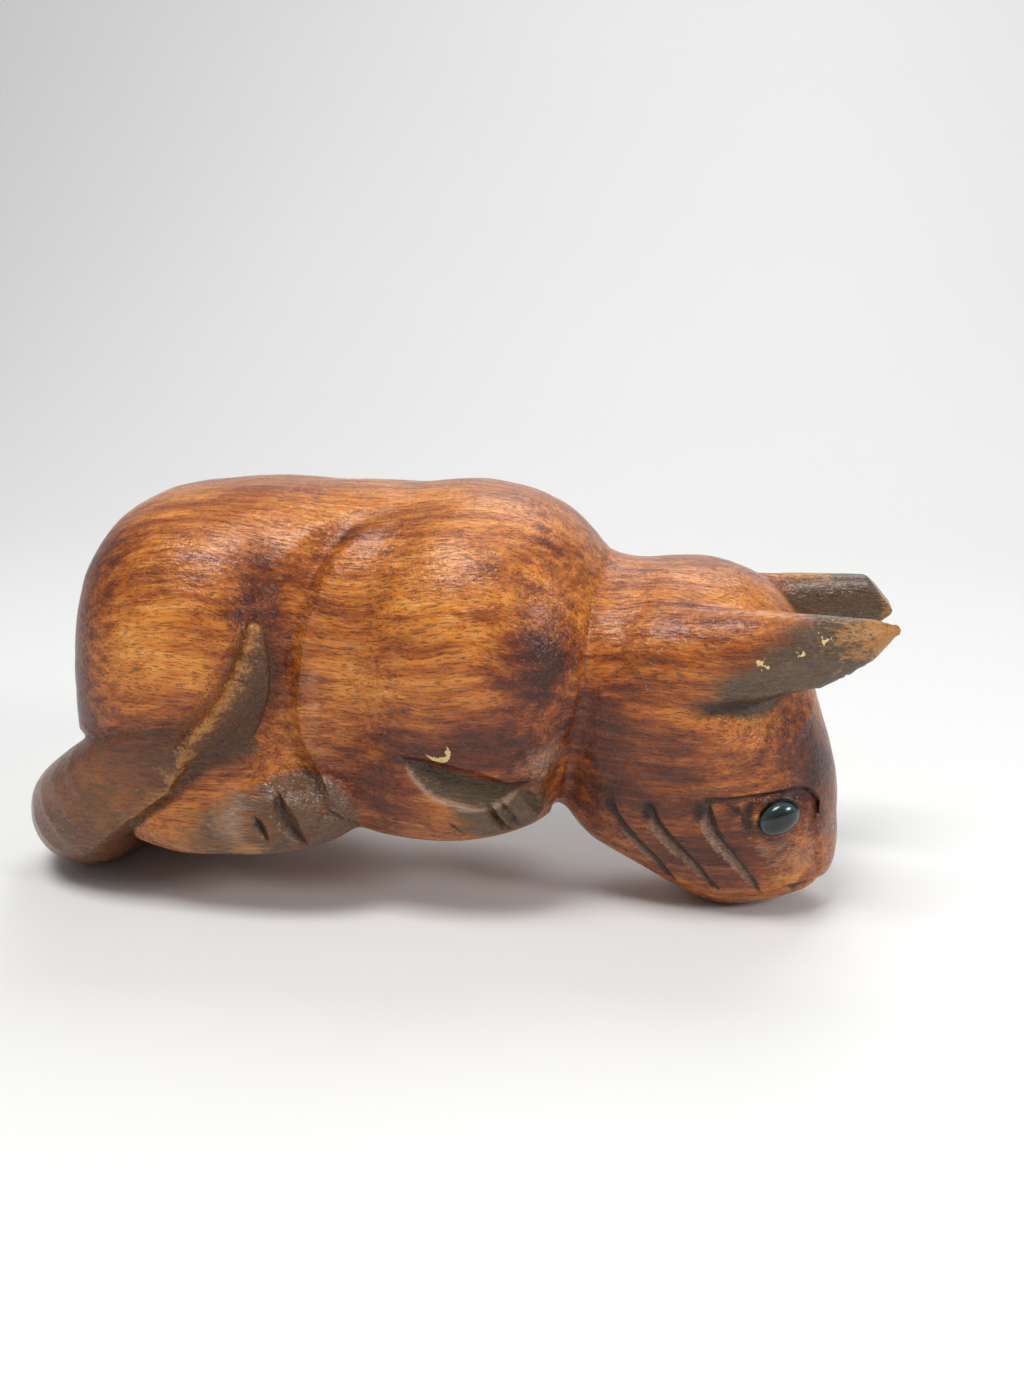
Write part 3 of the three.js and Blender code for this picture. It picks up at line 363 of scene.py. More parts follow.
def head(p):
    """Skull, face, jaw and nose blended together, with a narrowed muzzle, the flat plane under
    the nose and the two ears."""
    squeeze = 1 + MUZZLE_NARROWING * np.clip(1 - p[:, 2] / MUZZLE_TOP, 0, 1)
    narrowed = np.stack([p[:, 0], p[:, 1] * squeeze, p[:, 2]], 1)
    d = blend(mass(p, **SKULL), mass(narrowed, **FACE), BLEND["brow"])
    d = blend(d, mass(p, **JAW), BLEND["jaw"])
    d = blend(d, mass(p, **NOSE), BLEND["nose"])
    d = pare(d, (p - CHIN_AT) @ CHIN_OUT, BLEND["chin"])
    front = p[:, 0] > EARS_FROM
    d[front] = blend(d[front], ears(p[front]), BLEND["ear"])
    return d


def feet(p):
    """Distance from the hind feet, each a long toe end and a round heel."""
    q = both_sides(p)
    return blend(mass(q, **HIND_FOOT), mass(q, **HEEL), BLEND["heel"])


def carving(p):
    """Distance outside the whole carving: the masses blended one after another, the cuts and
    hollows added, the sockets bored and everything below the table taken away."""
    q = both_sides(p)
    d = blend(mass(p, **RUMP), mass(p, **TORSO), BLEND["back"])
    d = blend(d, mass(q, **HAUNCH), BLEND["haunch"])
    d = blend(d, mass(p, **SHOULDER), BLEND["shoulder"])
    d = blend(d, mass(q, **FOREARM), BLEND["arm"])
    d = blend(d, mass(p, **NECK), BLEND["neck"])
    d = blend(d, head(p), BLEND["head"])
    d = blend(d, feet(p), BLEND["foot"])
    close = np.abs(d) < SKIN_REACH
    d[close] += gouged(p[close])[0] + pressed(p[close])
    back = (p[:, 0] < TAIL_TO) & (p[:, 2] < TAIL_TOP)
    from_tail = tail(p[back])[0]
    groove = TAIL_GROOVE_DEPTH * np.maximum(0, 1 - np.abs(from_tail) / TAIL_GROOVE_WIDTH)
    d[back] = blend(d[back] + groove, from_tail, BLEND["tail"])
    close = np.abs(d) < SKIN_REACH
    d[close] += sanded(p[close])
    socket = from_eye(p)
    d -= LID_HEIGHT * np.exp(-((socket - LID_FROM_LENS) / LID_WIDTH) ** 2)
    d = np.maximum(d, EYE_CLEARANCE - socket)
    return np.maximum(d, -p[:, 2])


def lines_of(start, *stretches):
    """Grid lines of one axis, from stretches of an end and a spacing."""
    ends = [start, *(end for end, _ in stretches)]
    rows = [np.linspace(a, b, max(2, round((b - a) / spacing) + 1))[1:]
            for a, b, spacing in zip(ends, ends[1:], (s for _, s in stretches))]
    return np.concatenate([[start], *rows])


# How often a crossing is closed in on, the step that the skin's slope is taken over, and how
# firmly a corner is held to the middle of its crossings.
CROSSING_ROUNDS, SLOPE_STEP, CORNER_HOLD = 5, 0.05, 0.03


def skin_of(field, lines):
    """Corners and quads where a field is zero. Every grid line that crosses the skin has its
    crossing closed in on and gets one quad; every cell's corner is where the planes of its
    crossings meet best by least squares, held a little to their middle."""
    shape = [len(line) for line in lines]
    value = field(np.stack(np.meshgrid(*lines, indexing="ij"), -1).reshape(-1, 3)).reshape(shape)
    strides = np.array([shape[1] * shape[2], shape[2], 1])
    spots, normals, rings = [], [], []
    for k in range(3):
        start = np.argwhere(np.diff((value < 0).astype(np.int8), axis=k))
        end = start + np.eye(3, dtype=int)[k]
        a, b = (np.stack([line[i] for line, i in zip(lines, at.T)], 1) for at in (start, end))
        inner, outer = value[tuple(start.T)], value[tuple(end.T)]
        wood_first = inner < 0
        low, high = np.zeros(len(a)), np.ones(len(a))
        for turn in range(CROSSING_ROUNDS):
            t = (low + high) / 2 if turn % 2 else low + (high - low) * np.clip(
                inner / (inner - outer), 0.05, 0.95)
            p = a + (b - a) * t[:, None]
            found = field(p)
            same = (found < 0) == wood_first
            low, inner = np.where(same, t, low), np.where(same, found, inner)
            high, outer = np.where(same, high, t), np.where(same, outer, found)
        slope = np.stack([field(p + step) - field(p - step)
                          for step in SLOPE_STEP * np.eye(3)], 1)
        u, v = strides[(k + 1) % 3], strides[(k + 2) % 3]
        cell = start @ strides
        ring = np.stack([cell - u - v, cell - v, cell, cell - u], 1)
        rings.append(np.where(wood_first[:, None], ring, ring[:, ::-1]))
        spots.append(p)
        normals.append(slope / (np.linalg.norm(slope, axis=1, keepdims=True) + 1e-9))
    spots, normals, rings = (np.concatenate(part) for part in (spots, normals, rings))
    cells, faces = np.unique(rings, return_inverse=True)
    faces = faces.reshape(-1, 4)
    whose = faces.ravel()
    count = np.bincount(whose)
    gather = lambda part: np.stack([np.bincount(whose, np.repeat(col, 4)) for col in part.T], 1)
    middle = gather(spots) / count[:, None]
    spread = gather((normals[:, :, None] * normals[:, None, :]).reshape(-1, 9)).reshape(-1, 3, 3)
    pull = gather(normals * (normals * spots).sum(1, keepdims=True))
    pull -= (spread @ middle[:, :, None])[:, :, 0]
    spread += CORNER_HOLD * count[:, None, None] * np.eye(3)
    corners = middle + np.linalg.solve(spread, pull[:, :, None])[:, :, 0]
    place = np.stack(np.unravel_index(cells, shape), 1)
    lowest = np.stack([line[i] for line, i in zip(lines, place.T)], 1)
    highest = np.stack([line[i + 1] for line, i in zip(lines, place.T)], 1)
    return np.clip(corners, lowest, highest), faces


def largest_piece(points, faces):
    """The corners and faces of the largest joined-up part of a mesh: every corner takes the
    lowest number among its neighbours, over and over, until nothing changes."""
    label = np.arange(len(points))
    while True:
        lowest = label[faces].min(1)
        lower = label.copy()
        np.minimum.at(lower, faces.ravel(), np.repeat(lowest, faces.shape[1]))
        lower = lower[lower]
        if (lower == label).all():
            break
        label = lower
    kept = label == np.bincount(label).argmax()
    number = np.cumsum(kept) - 1
    return points[kept], number[faces[kept[faces].all(1)]]


def mesh_of(name, points, faces, **marks):
    """A mesh from whole arrays of points, in millimetres of the carving, and of faces; marks
    are kept as attributes of its points."""
    mesh = bpy.data.meshes.new(name)
    place = (points + TABLE_MIDDLE) / 1000
    mesh.vertices.add(len(place))
    mesh.vertices.foreach_set("co", place.ravel())
    mesh.loops.add(faces.size)
    mesh.loops.foreach_set("vertex_index", faces.ravel().astype(np.int32))
    mesh.polygons.add(len(faces))
    mesh.polygons.foreach_set("loop_start", np.arange(len(faces), dtype=np.int32) * faces.shape[1])
    for mark, values in marks.items():
        mesh.attributes.new(mark, "FLOAT", "POINT").data.foreach_set("value", values)
    mesh.validate()
    mesh.update(calc_edges=True)
    mesh.shade_smooth()
    piece = bpy.data.objects.new(name, mesh)
    bpy.context.scene.collection.objects.link(piece)
    return piece


# The side of the tail's ridge that faces the foot is its lower facet, painted in shade: the
# smoky stain reaches further and lies darker there.
TAIL_SHADED_SIDE = 1
# Where the stain stayed lighter, with painted highlights on upward faces, went dark red, with
# painted shade on lower and turned-away parts, was rubbed pale or wore off on each side, as
# places, half sizes and, where it isn't full, strength.
LIGHT_PLACES = [((-83, 34, 98), (15, 14, 15)), ((-58, 30, 107), (11, 14, 8)),
                ((-17, 34, 101), (16, 14, 9)), ((-33, 42, 70), (9, 14, 18)),
                ((-8, 44, 84), (16, 14, 9)), ((38, 24, 89), (13, 14, 8)),
                ((-88, 36, 72), (12, 14, 14)), ((68, 24, 48), (14, 16, 9))]
# Dark red stain, with painted shade on the lower and turned-away parts: cheeks, chest, arms, neck,
# rump edge and the paw cut's upper wall.
RED_PLACES = [((13, 40, 72), (10, 14, 14)), ((24, 31, 52), (13, 14, 19)),
              ((0, 42, 52), (22, 14, 9)), ((50, 28, 24), (17, 16, 16)),
              ((-107, 28, 66), (9, 18, 24)), ((-60, 40, 70), (7, 12, 24)),
              ((-30, 42, 36), (17, 14, 12)), ((44, 30, 48), (14, 14, 9)),
              ((-74, 44, 50), (16, 14, 10)), ((52, 28, 26), (22, 18, 20)),
              ((80, 16, 44), (12, 20, 16)), ((28, 30, 48), (13, 16, 22))]
PALE_PLACES = [((77, 22, 21), (9, 12, 8), 0.45), ((70, 28, 37.4), (8, 6, 1.2), 0.7),
               ((14, 36, 47.5), (6, 9, 5), 0.75), ((-66, 43, 29), (6, 9, 9), 0.75),
               ((-46, 37, 62), (4, 10, 44), 0.35)]
BARE_LID, BARE_TOE = ((67, 28, 32.4), (1.5, 4, 4)), ((-63, 42, 21), (5, 8, 4))
# Painted shadow under the near ear's overhanging ledge and painted shade in the cheek notches: the
# place and half sizes, and how dark each is.
UNDER_EAR, UNDER_EAR_SHADE, NOTCH_SHADE = ((61, 33, 63.2), (12, 8, 2.4)), 1.1, 1.6
PAW_FACET, FOREPAW = ((-8, 41, 41), (16, 20, 8)), ((3, 36, 33), (14, 14, 9))
# The top of the left ear is worn, and the right one is pecked in three places.
WORN_EAR = ((80, 25, 86), (10, 7, 3))
PECKS = [((66, -33, 75), (3.6, 9, 2.6)), ((74.5, -32, 78), (3.6, 9, 2.6)),
         ((81, -30, 81), (3.6, 9, 2.6))]
# How far smoky stain reaches from the ears, the feet and the lower and upper sides of the tail;
# the further reach on the tail's lower side is painted shade.
EAR_SMOKE, FOOT_SMOKE, TAIL_SMOKE_AND_SHADE = 2.5, 1.6, (3.4, 1.2)


def stain_and_shade_marks(p):
    """What the finish needs at each point: dark stain and painted shade in the cuts, painted shade
    round the eyes, in the cheek notches, under the ear and on the tail's lower facet, smoky stain
    on tail, paws and ears, greyer on paws and ears, bare worn wood on ridges and tips, cut walls
    painted pale as lit and a painted highlight on the paw cut's edge, the lighter places with
    painted highlights and the red places with painted shade."""
    q = both_sides(p)
    x, y, z = p.T
    ear, (from_tail, ridge, beside), from_feet = ears(p), tail(p), feet(p)
    _, ink_and_shade, lower_walls, rim = gouged(p)
    dark_ear = np.clip(1 - ear / EAR_SMOKE, 0, 1) * np.clip((x - 50) / 16 + (73 - z) / 12, 0, 1)
    # On the tail's lower side the smoky stain reaches further and lies darker: painted shade.
    reach = np.where(beside * TAIL_SHADED_SIDE > 0, *TAIL_SMOKE_AND_SHADE)
    on_tail = np.clip(1.3 - from_tail / reach, 0, 1)
    dark_tail = on_tail * (0.72 + 0.045 * np.clip(beside * TAIL_SHADED_SIDE, -1.5, 8))
    dark_foot = np.clip(1 - from_feet / FOOT_SMOKE, 0, 1) * np.clip((x + 92) / 20, 0, 1) * 0.74
    on_facet = (bell(q, *PAW_FACET) > 0.3) * lower_walls
    dark_paw = np.maximum(on_facet, np.clip(1.5 * bell(q, *FOREPAW) - 0.15, 0, 0.9))
    ash = np.maximum.reduce([dark_ear, dark_foot * (1 - on_tail), dark_paw])
    tip = np.clip((x - 77) / 20, 0, 1) * (y < 0) * np.clip((z - 72) / 5, 0.35, 1)
    worn = np.maximum.reduce([
        0.68 * ridge * np.clip(1.3 - from_tail / 1.2, 0, 1)
        * (1 - 0.35 * np.clip((45 - z) / 25, 0, 1)), tip, 0.8 * bell(p, *WORN_EAR),
        np.clip((x - 95) / 4, 0, 1) * (y > 0) * 0.6, bells(q, (BARE_TOE, BARE_LID))])
    # Painted shade in the eye socket round the lens, except on the bare lid.
    socket_shade = np.exp(-(from_eye(p) - 0.2) ** 2) * (1 - bell(q, *BARE_LID))
    # Painted shade on the tail's lower facet beside the ridge.
    tail_side_shade = 0.42 * on_tail * np.clip(beside * TAIL_SHADED_SIDE / 4 - 0.3, 0, 1)
    # Dark stain and painted shade in the cuts, and painted shade in the socket, the cheek notches,
    # under the ear and on the tail's lower facet.
    stain_and_shade = np.maximum.reduce([
        ink_and_shade * (1 - on_tail), socket_shade, NOTCH_SHADE * bells(q, NOTCHES),
        UNDER_EAR_SHADE * bell(q, *UNDER_EAR), tail_side_shade])
    # Cheek cut walls painted pale as lit, the painted highlight on the paw cut's edge, and the
    # places rubbed pale.
    pale = np.maximum.reduce([0.8 * lower_walls * (1 - on_facet), 0.95 * rim, bells(q, PALE_PLACES)])
    return dict(stain_and_shade=stain_and_shade, worn=worn, ash=ash, smoke_and_shade=np.maximum(dark_tail, ash),
                pecked=bells(p, PECKS), pale=pale, light=bells(q, LIGHT_PLACES),
                red=bells(q, RED_PLACES))


def add_node(tree, kind, inputs=(), **settings):
    """One shader node with its settings, its unlinked values and its links."""
    made = tree.nodes.new(kind)
    for key, value in settings.items():
        setattr(made, key, value)
    for key, value in dict(inputs).items():
        if isinstance(value, bpy.types.NodeSocket):
            tree.links.new(value, made.inputs[key])
        else:
            made.inputs[key].default_value = value
    return made


def ramp(tree, factor, *stops):
    """A colour ramp over a factor, from stops of a place and a colour or grey."""
    made = add_node(tree, "ShaderNodeValToRGB", {"Fac": factor})
    elements = made.color_ramp.elements
    while len(elements) < len(stops):
        elements.new(0.5)
    for element, (place, colour) in zip(elements, stops):
        element.position = place
        element.color = (*colour, 1) if isinstance(colour, tuple) else (colour, colour, colour, 1)
    return made.outputs["Color"]


def math_of(tree, operation, a, b, clamped=False):
    """One sum of arithmetic on two sockets or numbers."""
    made = add_node(tree, "ShaderNodeMath", {0: a, 1: b}, operation=operation, use_clamp=clamped)
    return made.outputs[0]


def mixed(tree, factor, under, over):
    """The under colour with the over colour laid on by a factor."""
    made = tree.nodes.new("ShaderNodeMix")
    made.data_type = "RGBA"
    sockets = made.inputs[0], made.inputs[6], made.inputs[7]
    for socket, value in zip(sockets, (factor, under, over)):
        if isinstance(value, bpy.types.NodeSocket):
            tree.links.new(value, socket)
        else:
            socket.default_value = (*value, 1) if isinstance(value, tuple) else value
    return made.outputs[2]


# A crescent nick over the right paw shows bare wood between two circles.
NICK_CIRCLES, NICK_RADIUS = ((-12.4, -43.5, 51.3), (-13.1, -43.5, 52.6)), 0.0029
NICK_FLATTENED = (1, 0.15, 1)
# The grain as noise: how fine it is along the grain, sideways and upwards, in waves to a metre,
# how many octaves it has and how rough they are.
STREAKS = ((24.0, 400.0, 400.0), 6.0, 0.62)
FIBRES = ((95.0, 1700.0, 1700.0), 4.0, 0.62)
THREADS = ((60.0, 1800.0, 1800.0), 3.0, 0.55)
PORES = ((330.0, 2300.0, 2300.0), 2.0, 0.5)
BLOTCHES = ((26.0, 48.0, 48.0), 5.0, 0.62)
MOTTLE = ((170.0, 280.0, 280.0), 5.0, 0.68)
SPECKS = ((760.0, 760.0, 760.0), 3.0, 0.6)
RIPPLE = ((760.0, 760.0, 760.0), 2.0, 0.5)
# Colours of the stained wood from dark to light, and the dark and light of each worn or stained
# kind of place; the cut brown and the pale wood also serve for painted shade and painted light.
WOOD_TONES = [(0.37, (0.050, 0.009, 0.003)), (0.47, (0.150, 0.029, 0.005)),
              (0.55, (0.330, 0.082, 0.010)), (0.64, (0.580, 0.190, 0.027)),
              (0.76, (0.770, 0.350, 0.085))]
THREAD_BROWN, PORE_BROWN = (0.070, 0.020, 0.008), (0.045, 0.014, 0.006)
# The dark brown of the cuts' stain, also the colour of the painted shade.
CUT_BROWN = (0.030, 0.012, 0.007)
WARM_SMOKE = (0.016, 0.006, 0.002), (0.220, 0.086, 0.026)
GREY_SMOKE = (0.016, 0.011, 0.006), (0.150, 0.104, 0.062)
# The pale wood, also the colour of the painted light on the cut walls and the paw cut's edge.
PALE_AND_LIT_WOOD = (0.190, 0.080, 0.045), (0.560, 0.380, 0.270)
WORN_WOOD = (0.300, 0.095, 0.020), (0.600, 0.295, 0.075)
CHIPPED_WOOD = (0.700, 0.520, 0.220)


def varnished_wood():
    """Stained hardwood under semi-gloss varnish: long streaks and short dark pores along the
    grain, blotches of lighter and red stain with painted highlights and painted shade, dark cuts
    with painted shade, smoky ears, tail and paws with painted shade on the tail's lower facet,
    cut walls painted pale as lit, worn ridges."""
    material = bpy.data.materials.new("varnished_wood")
    material.use_nodes = True
    tree = material.node_tree
    shader = tree.nodes["Principled BSDF"]
    place = add_node(tree, "ShaderNodeTexCoord").outputs["Object"]
    drift = add_node(tree, "ShaderNodeTexNoise", {"Vector": place, "Scale": 16.0, "Detail": 2.0})
    drift = add_node(tree, "ShaderNodeVectorMath", {0: drift.outputs["Color"], 1: (0.5, 0.5, 0.5)},
                     operation="SUBTRACT")
    drift = add_node(tree, "ShaderNodeVectorMath", {0: drift.outputs[0], 1: (0.0, 0.012, 0.012)},
                     operation="MULTIPLY")
    bent = add_node(tree, "ShaderNodeVectorMath", {0: place, 1: drift.outputs[0]}, operation="ADD")

    def noise(scale, detail, rough, source=bent.outputs[0]):
        stretched = add_node(tree, "ShaderNodeMapping", {"Vector": source, "Scale": scale})
        return add_node(tree, "ShaderNodeTexNoise", {
            "Vector": stretched.outputs[0], "Scale": 1.0, "Detail": detail,
            "Roughness": rough}).outputs["Fac"]

    def mark(name):
        return add_node(tree, "ShaderNodeAttribute", attribute_name=name).outputs["Fac"]

    streaks, fibres, threads, pores = (noise(*kind) for kind in (STREAKS, FIBRES, THREADS, PORES))
    blotches, mottle = noise(*BLOTCHES, place), noise(*MOTTLE, place)

    def plus(a, b, share):
        return math_of(tree, "ADD", a, math_of(tree, "MULTIPLY", b, share))

    tone = plus(math_of(tree, "MULTIPLY", streaks, 0.44), blotches, 0.44)
    tone = plus(plus(tone, mottle, 0.12), fibres, 0.16)
    # Lighter stain with painted highlights, and dark red stain with painted shade on lower and
    # turned-away parts.
    tone = plus(plus(tone, mark("light"), 0.05), mark("red"), -0.17)
    wood = ramp(tree, tone, *WOOD_TONES)
    pore = ramp(tree, pores, (0.56, 0.0), (0.64, 1.0))
    thread = ramp(tree, threads, (0.59, 0.0), (0.65, 1.0))
    wood = mixed(tree, math_of(tree, "MULTIPLY", thread, 0.32), wood, THREAD_BROWN)
    wood = mixed(tree, math_of(tree, "MULTIPLY", pore, 0.52), wood, PORE_BROWN)

    patchy = math_of(tree, "SUBTRACT", mottle, 0.5)
    streaky = math_of(tree, "SUBTRACT", streaks, 0.5)
    grainy = math_of(tree, "SUBTRACT", fibres, 0.5)
    # Smoky stain on ears, tail and paws, with painted shade on the tail's lower side.
    smoke_and_shade = ramp(tree, plus(plus(plus(mark("smoke_and_shade"), patchy, 1.2), streaky, 1.0), grainy, 0.5),
                 (0.20, 0.0), (0.80, 0.94))
    warm = mixed(tree, fibres, *WARM_SMOKE)
    grey = mixed(tree, fibres, *GREY_SMOKE)
    wood = mixed(tree, smoke_and_shade, wood, mixed(tree, mark("ash"), warm, grey))
    # Pale wood, with the cheek cut walls painted pale as lit and a painted highlight on the paw
    # cut's edge.
    pale = ramp(tree, plus(plus(mark("pale"), patchy, 1.3), grainy, 0.9), (0.22, 0.0), (0.95, 0.8))
    wood = mixed(tree, pale, wood, mixed(tree, fibres, *PALE_AND_LIT_WOOD))
    # Dark stain and painted shade in the cuts, socket, notches, under the ear and on the tail's
    # lower facet.
    cut = ramp(tree, plus(mark("stain_and_shade"), patchy, 0.5), (0.10, 0.0), (0.70, 0.93))
    wood = mixed(tree, cut, wood, CUT_BROWN)
    worn = ramp(tree, plus(plus(plus(mark("worn"), patchy, 1.7), grainy, 1.3), streaky, 0.8),
                (0.34, 0.0), (0.86, 0.9))
    wood = mixed(tree, worn, wood, mixed(tree, streaks, *WORN_WOOD))
    specks = plus(math_of(tree, "MULTIPLY", mark("pecked"), 0.3), noise(*SPECKS, place), 0.72)
    chips = ramp(tree, specks, (0.655, 0.0), (0.675, 1.0))
    flat = add_node(tree, "ShaderNodeVectorMath", {0: place, 1: NICK_FLATTENED},
                    operation="MULTIPLY")
    nick = [add_node(tree, "ShaderNodeVectorMath", {
        0: flat.outputs[0], 1: tuple((np.array(at) + TABLE_MIDDLE) / 1000 * NICK_FLATTENED)},
        operation="DISTANCE").outputs["Value"] for at in NICK_CIRCLES]
    nick = [plus(circle, patchy, 0.004) for circle in nick]
    nick = math_of(tree, "MULTIPLY", math_of(tree, "LESS_THAN", nick[0], NICK_RADIUS),
                   math_of(tree, "GREATER_THAN", nick[1], NICK_RADIUS))
    chips = math_of(tree, "MAXIMUM", chips, nick)
    wood = mixed(tree, chips, wood, CHIPPED_WOOD)
    tree.links.new(wood, shader.inputs["Base Color"])

    dull = math_of(tree, "ADD", math_of(tree, "MULTIPLY", mottle, 0.34), 0.11)
    dull = plus(plus(dull, pale, -0.10), smoke_and_shade, -0.05)
    dull = math_of(tree, "ADD", plus(dull, cut, 0.25), math_of(tree, "MULTIPLY", worn, 0.12), True)
    tree.links.new(dull, shader.inputs["Roughness"])
    shader.inputs["Specular IOR Level"].default_value = 0.42
    shader.inputs["Coat Weight"].default_value = 0.06
    shader.inputs["Coat Roughness"].default_value = 0.18
    height = plus(math_of(tree, "MULTIPLY", fibres, 0.25), pore, -0.4)
    height = plus(plus(height, thread, -0.2), mottle, 1.1)
    height = plus(height, noise(*RIPPLE), 0.7)
    bump = add_node(tree, "ShaderNodeBump", {"Height": height, "Strength": 0.8, "Distance": 0.0005})
    tree.links.new(bump.outputs[0], shader.inputs["Normal"])
    return material


# Grid lines that the skin is worked out on, in x, y and z: where they start, then stretches of
# an end and a spacing, closest round the head. Edges sharper than SHARP_EDGE stay crisp.
GRID = [(-141.3, (-64, 1.15), (-38, 1.0), (-22, 1.25), (20, 1.0), (34, 1.1), (106, 0.8)),
        (-59.2, (-12, 1.05), (12, 1.7), (57, 1.05)), (-5.1, (46, 0.95), (84, 1.15), (118, 1.5))]
SHARP_EDGE = math.radians(38)
points, faces = skin_of(carving, [lines_of(*axis) for axis in GRID])
points, faces = largest_piece(points, faces)
low, high = (np.array(corner) * 1000 - TABLE_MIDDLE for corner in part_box("cat"))
points = np.clip(points, low, high)
carved_cat = mesh_of("carved_cat", points, faces, **stain_and_shade_marks(points))
carved_cat.data.set_sharp_from_angle(angle=SHARP_EDGE)
carved_cat.data.materials.append(varnished_wood())
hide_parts("cat")
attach(carved_cat, "root")

# The eyes: two oval lenses of dark glass, ground to a low dome and glued into the sockets.
# The iris shows as a blue-grey ring round a black pupil set a little towards the back.
PUPIL_SHIFT = np.array([-0.10, 0.0, 0.02])
LENS_RINGS, LENS_SPOKES = 40, 72
IRIS_TONES = [(0.46, (0.002, 0.003, 0.003)), (0.60, (0.007, 0.012, 0.011)),
              (0.80, (0.014, 0.026, 0.026)), (0.92, (0.040, 0.075, 0.075)),
              (1.0, (0.004, 0.005, 0.005))]


def lens(side):
    """Points of one lens: the ellipsoid swept by latitude and longitude about its long axis,
    carried to the eye's place, with each point's distance from the pupil as a share."""
    down, around = np.meshgrid(np.linspace(0, np.pi, LENS_RINGS + 1),
                               np.linspace(0, 2 * np.pi, LENS_SPOKES + 1)[:-1], indexing="ij")
    unit = np.stack([np.cos(down), np.sin(down) * np.cos(around), np.sin(down) * np.sin(around)], -1)
    unit = unit.reshape(-1, 3)
    placed = (unit * EYE_HALF) @ eye_axes() + EYE_AT
    placed[:, 1] *= side
    off = (unit - PUPIL_SHIFT) * np.array([1.0, 0.0, 0.85])
    row, column = np.meshgrid(np.arange(LENS_RINGS), np.arange(LENS_SPOKES), indexing="ij")
    first, beside = row * LENS_SPOKES + column, row * LENS_SPOKES + (column + 1) % LENS_SPOKES
    quads = np.stack([first, first + LENS_SPOKES, beside + LENS_SPOKES, beside], -1).reshape(-1, 4)
    return placed, quads if side > 0 else quads[:, ::-1], np.linalg.norm(off, axis=1)


def eye_glass():
    """Polished dark glass over a painted iris: black pupil, blue-grey ring, dark rim."""
    material = bpy.data.materials.new("eye_glass")
    material.use_nodes = True
    tree = material.node_tree
    shader = tree.nodes["Principled BSDF"]
    place = add_node(tree, "ShaderNodeTexCoord").outputs["Object"]
    flecks = add_node(tree, "ShaderNodeTexNoise", {"Vector": place, "Scale": 700.0, "Detail": 3.0})
    out = add_node(tree, "ShaderNodeAttribute", attribute_name="from_pupil").outputs["Fac"]
    out = math_of(tree, "ADD", out, math_of(tree, "MULTIPLY", flecks.outputs["Fac"], 0.10))
    iris = ramp(tree, out, *IRIS_TONES)
    tree.links.new(iris, shader.inputs["Base Color"])
    shader.inputs["Roughness"].default_value = 0.2
    shader.inputs["Coat Weight"].default_value = 0.2
    shader.inputs["Coat Roughness"].default_value = 0.05
    return material


glass = eye_glass()
for name, side in (("right_eye", -1), ("left_eye", 1)):
    points, faces, from_pupil = lens(side)
    eye = mesh_of(name + "_lens", points, faces, from_pupil=from_pupil)
    eye.data.materials.append(glass)
    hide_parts(name)
    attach(eye, "root")

# The floor is a plain pale sheet that sweeps up behind the cat, with no edge in view.
def sweep():
    """A flat profile that turns up through a quarter circle, carried straight along X."""
    turn = np.linspace(0, np.pi / 2, 25)
    y = np.concatenate([[-2.0, 0.2], 0.5 + 0.6 * np.sin(turn), [1.1]])
    z = np.concatenate([[0.0, 0.0], 0.6 * (1 - np.cos(turn)), [2.2]])
    x = np.linspace(-2.5, 2.5, 9)
    grid = np.stack([np.repeat(x, len(y)), np.tile(y, len(x)), np.tile(z, len(x))], 1)
    i, j = np.meshgrid(np.arange(len(x) - 1), np.arange(len(y) - 1), indexing="ij")
    first = i * len(y) + j
    quads = np.stack([first, first + len(y), first + len(y) + 1, first + 1], -1).reshape(-1, 4)
    return grid * 1000 - TABLE_MIDDLE, quads


def pale_paper():
    """Matt pale grey paper with the faintest mottle."""
    material = bpy.data.materials.new("pale_paper")
    material.use_nodes = True
    tree = material.node_tree
    shader = tree.nodes["Principled BSDF"]
    place = add_node(tree, "ShaderNodeTexCoord").outputs["Object"]
    mottle = add_node(tree, "ShaderNodeTexNoise", {"Vector": place, "Scale": 3.0}).outputs["Fac"]
    tree.links.new(mixed(tree, mottle, (0.74, 0.74, 0.73), (0.77, 0.77, 0.76)),
                   shader.inputs["Base Color"])
    shader.inputs["Roughness"].default_value = 0.8
    return material


floor = mesh_of("floor", *sweep())
floor.data.materials.append(pale_paper())

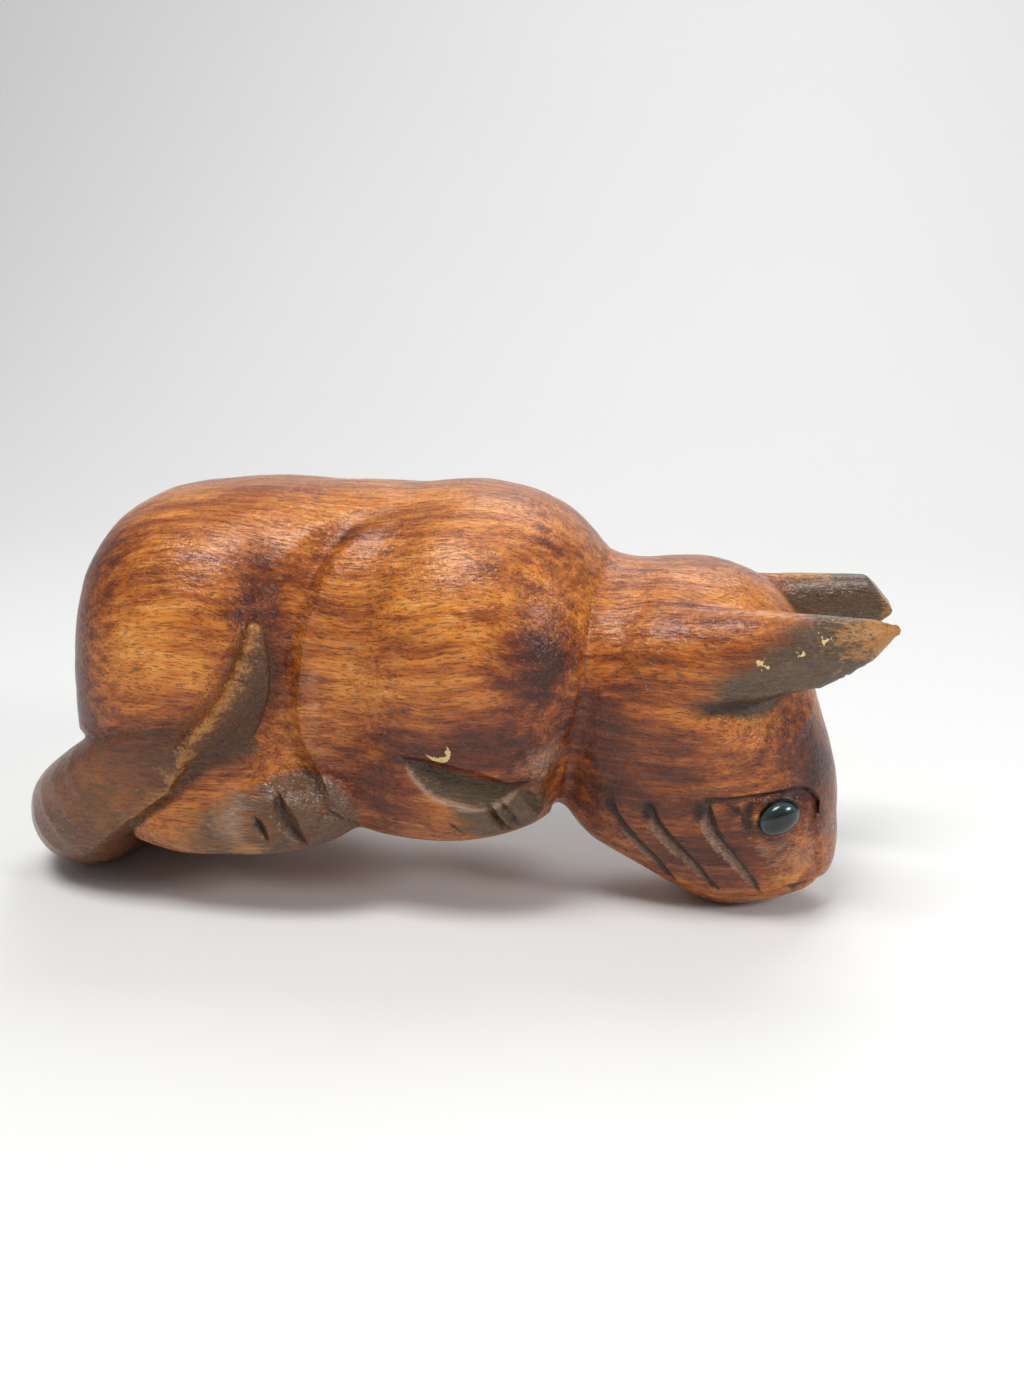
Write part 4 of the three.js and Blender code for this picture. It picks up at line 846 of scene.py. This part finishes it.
# Soft daylight: a window ahead of the cat, a broad one high in front and another behind, each
# with its place, its width and its power, and a dim sky.
LAMPS = {"window": ((0.84, -0.46, 0.52), 0.22, 4.2), "above": ((-0.15, -0.46, 1.15), 0.45, 11.0),
         "behind": ((0.15, 0.75, 1.1), 0.7, 6.0)}
LAMP_AIM, SKY_COLOUR, SKY_STRENGTH = Vector((0, 0, 0.05)), (0.94, 0.96, 1.0, 1), 0.26
for name, (place, width, power) in LAMPS.items():
    lamp = bpy.data.lights.new(name, "AREA")
    lamp.size, lamp.energy = width, power
    stand = bpy.data.objects.new(name, lamp)
    turn = (LAMP_AIM - Vector(place)).to_track_quat("-Z", "Y")
    stand.matrix_world = Matrix.Translation(place) @ turn.to_matrix().to_4x4()
    bpy.context.scene.collection.objects.link(stand)
sky = bpy.data.worlds.new("sky")
sky.use_nodes = True
sky.node_tree.nodes["Background"].inputs["Color"].default_value = SKY_COLOUR
sky.node_tree.nodes["Background"].inputs["Strength"].default_value = SKY_STRENGTH
bpy.context.scene.world = sky
bpy.context.scene.view_settings.view_transform = "Standard"

# The camera stands at the cat's right side, a little ahead of its middle, looking down.
CAMERA_PLACE = (Vector((55.89, -397.69, 172.0)) + Vector(TABLE_MIDDLE)) / 1000
HEADING, PITCH, ROLL = math.radians(-8), math.radians(16.42), math.radians(0.58)
FOCAL_PIXELS, LONG_SIDE_PIXELS, SENSOR = 1530, 1394, 36
forward = Vector((math.sin(HEADING) * math.cos(PITCH), math.cos(HEADING) * math.cos(PITCH),
                  -math.sin(PITCH)))
level = Vector((math.cos(HEADING), -math.sin(HEADING), 0))
upright = level.cross(forward)
right = level * math.cos(ROLL) + upright * math.sin(ROLL)
top = upright * math.cos(ROLL) - level * math.sin(ROLL)
camera = bpy.data.objects.new("camera", bpy.data.cameras.new("camera"))
camera.data.sensor_width = SENSOR
camera.data.lens = SENSOR * FOCAL_PIXELS / LONG_SIDE_PIXELS
camera.data.clip_start, camera.data.clip_end = 0.01, 50
turned = Matrix((right, top, -forward)).transposed().to_4x4()
camera.matrix_world = Matrix.Translation(CAMERA_PLACE) @ turned
bpy.context.scene.collection.objects.link(camera)
bpy.context.scene.camera = camera
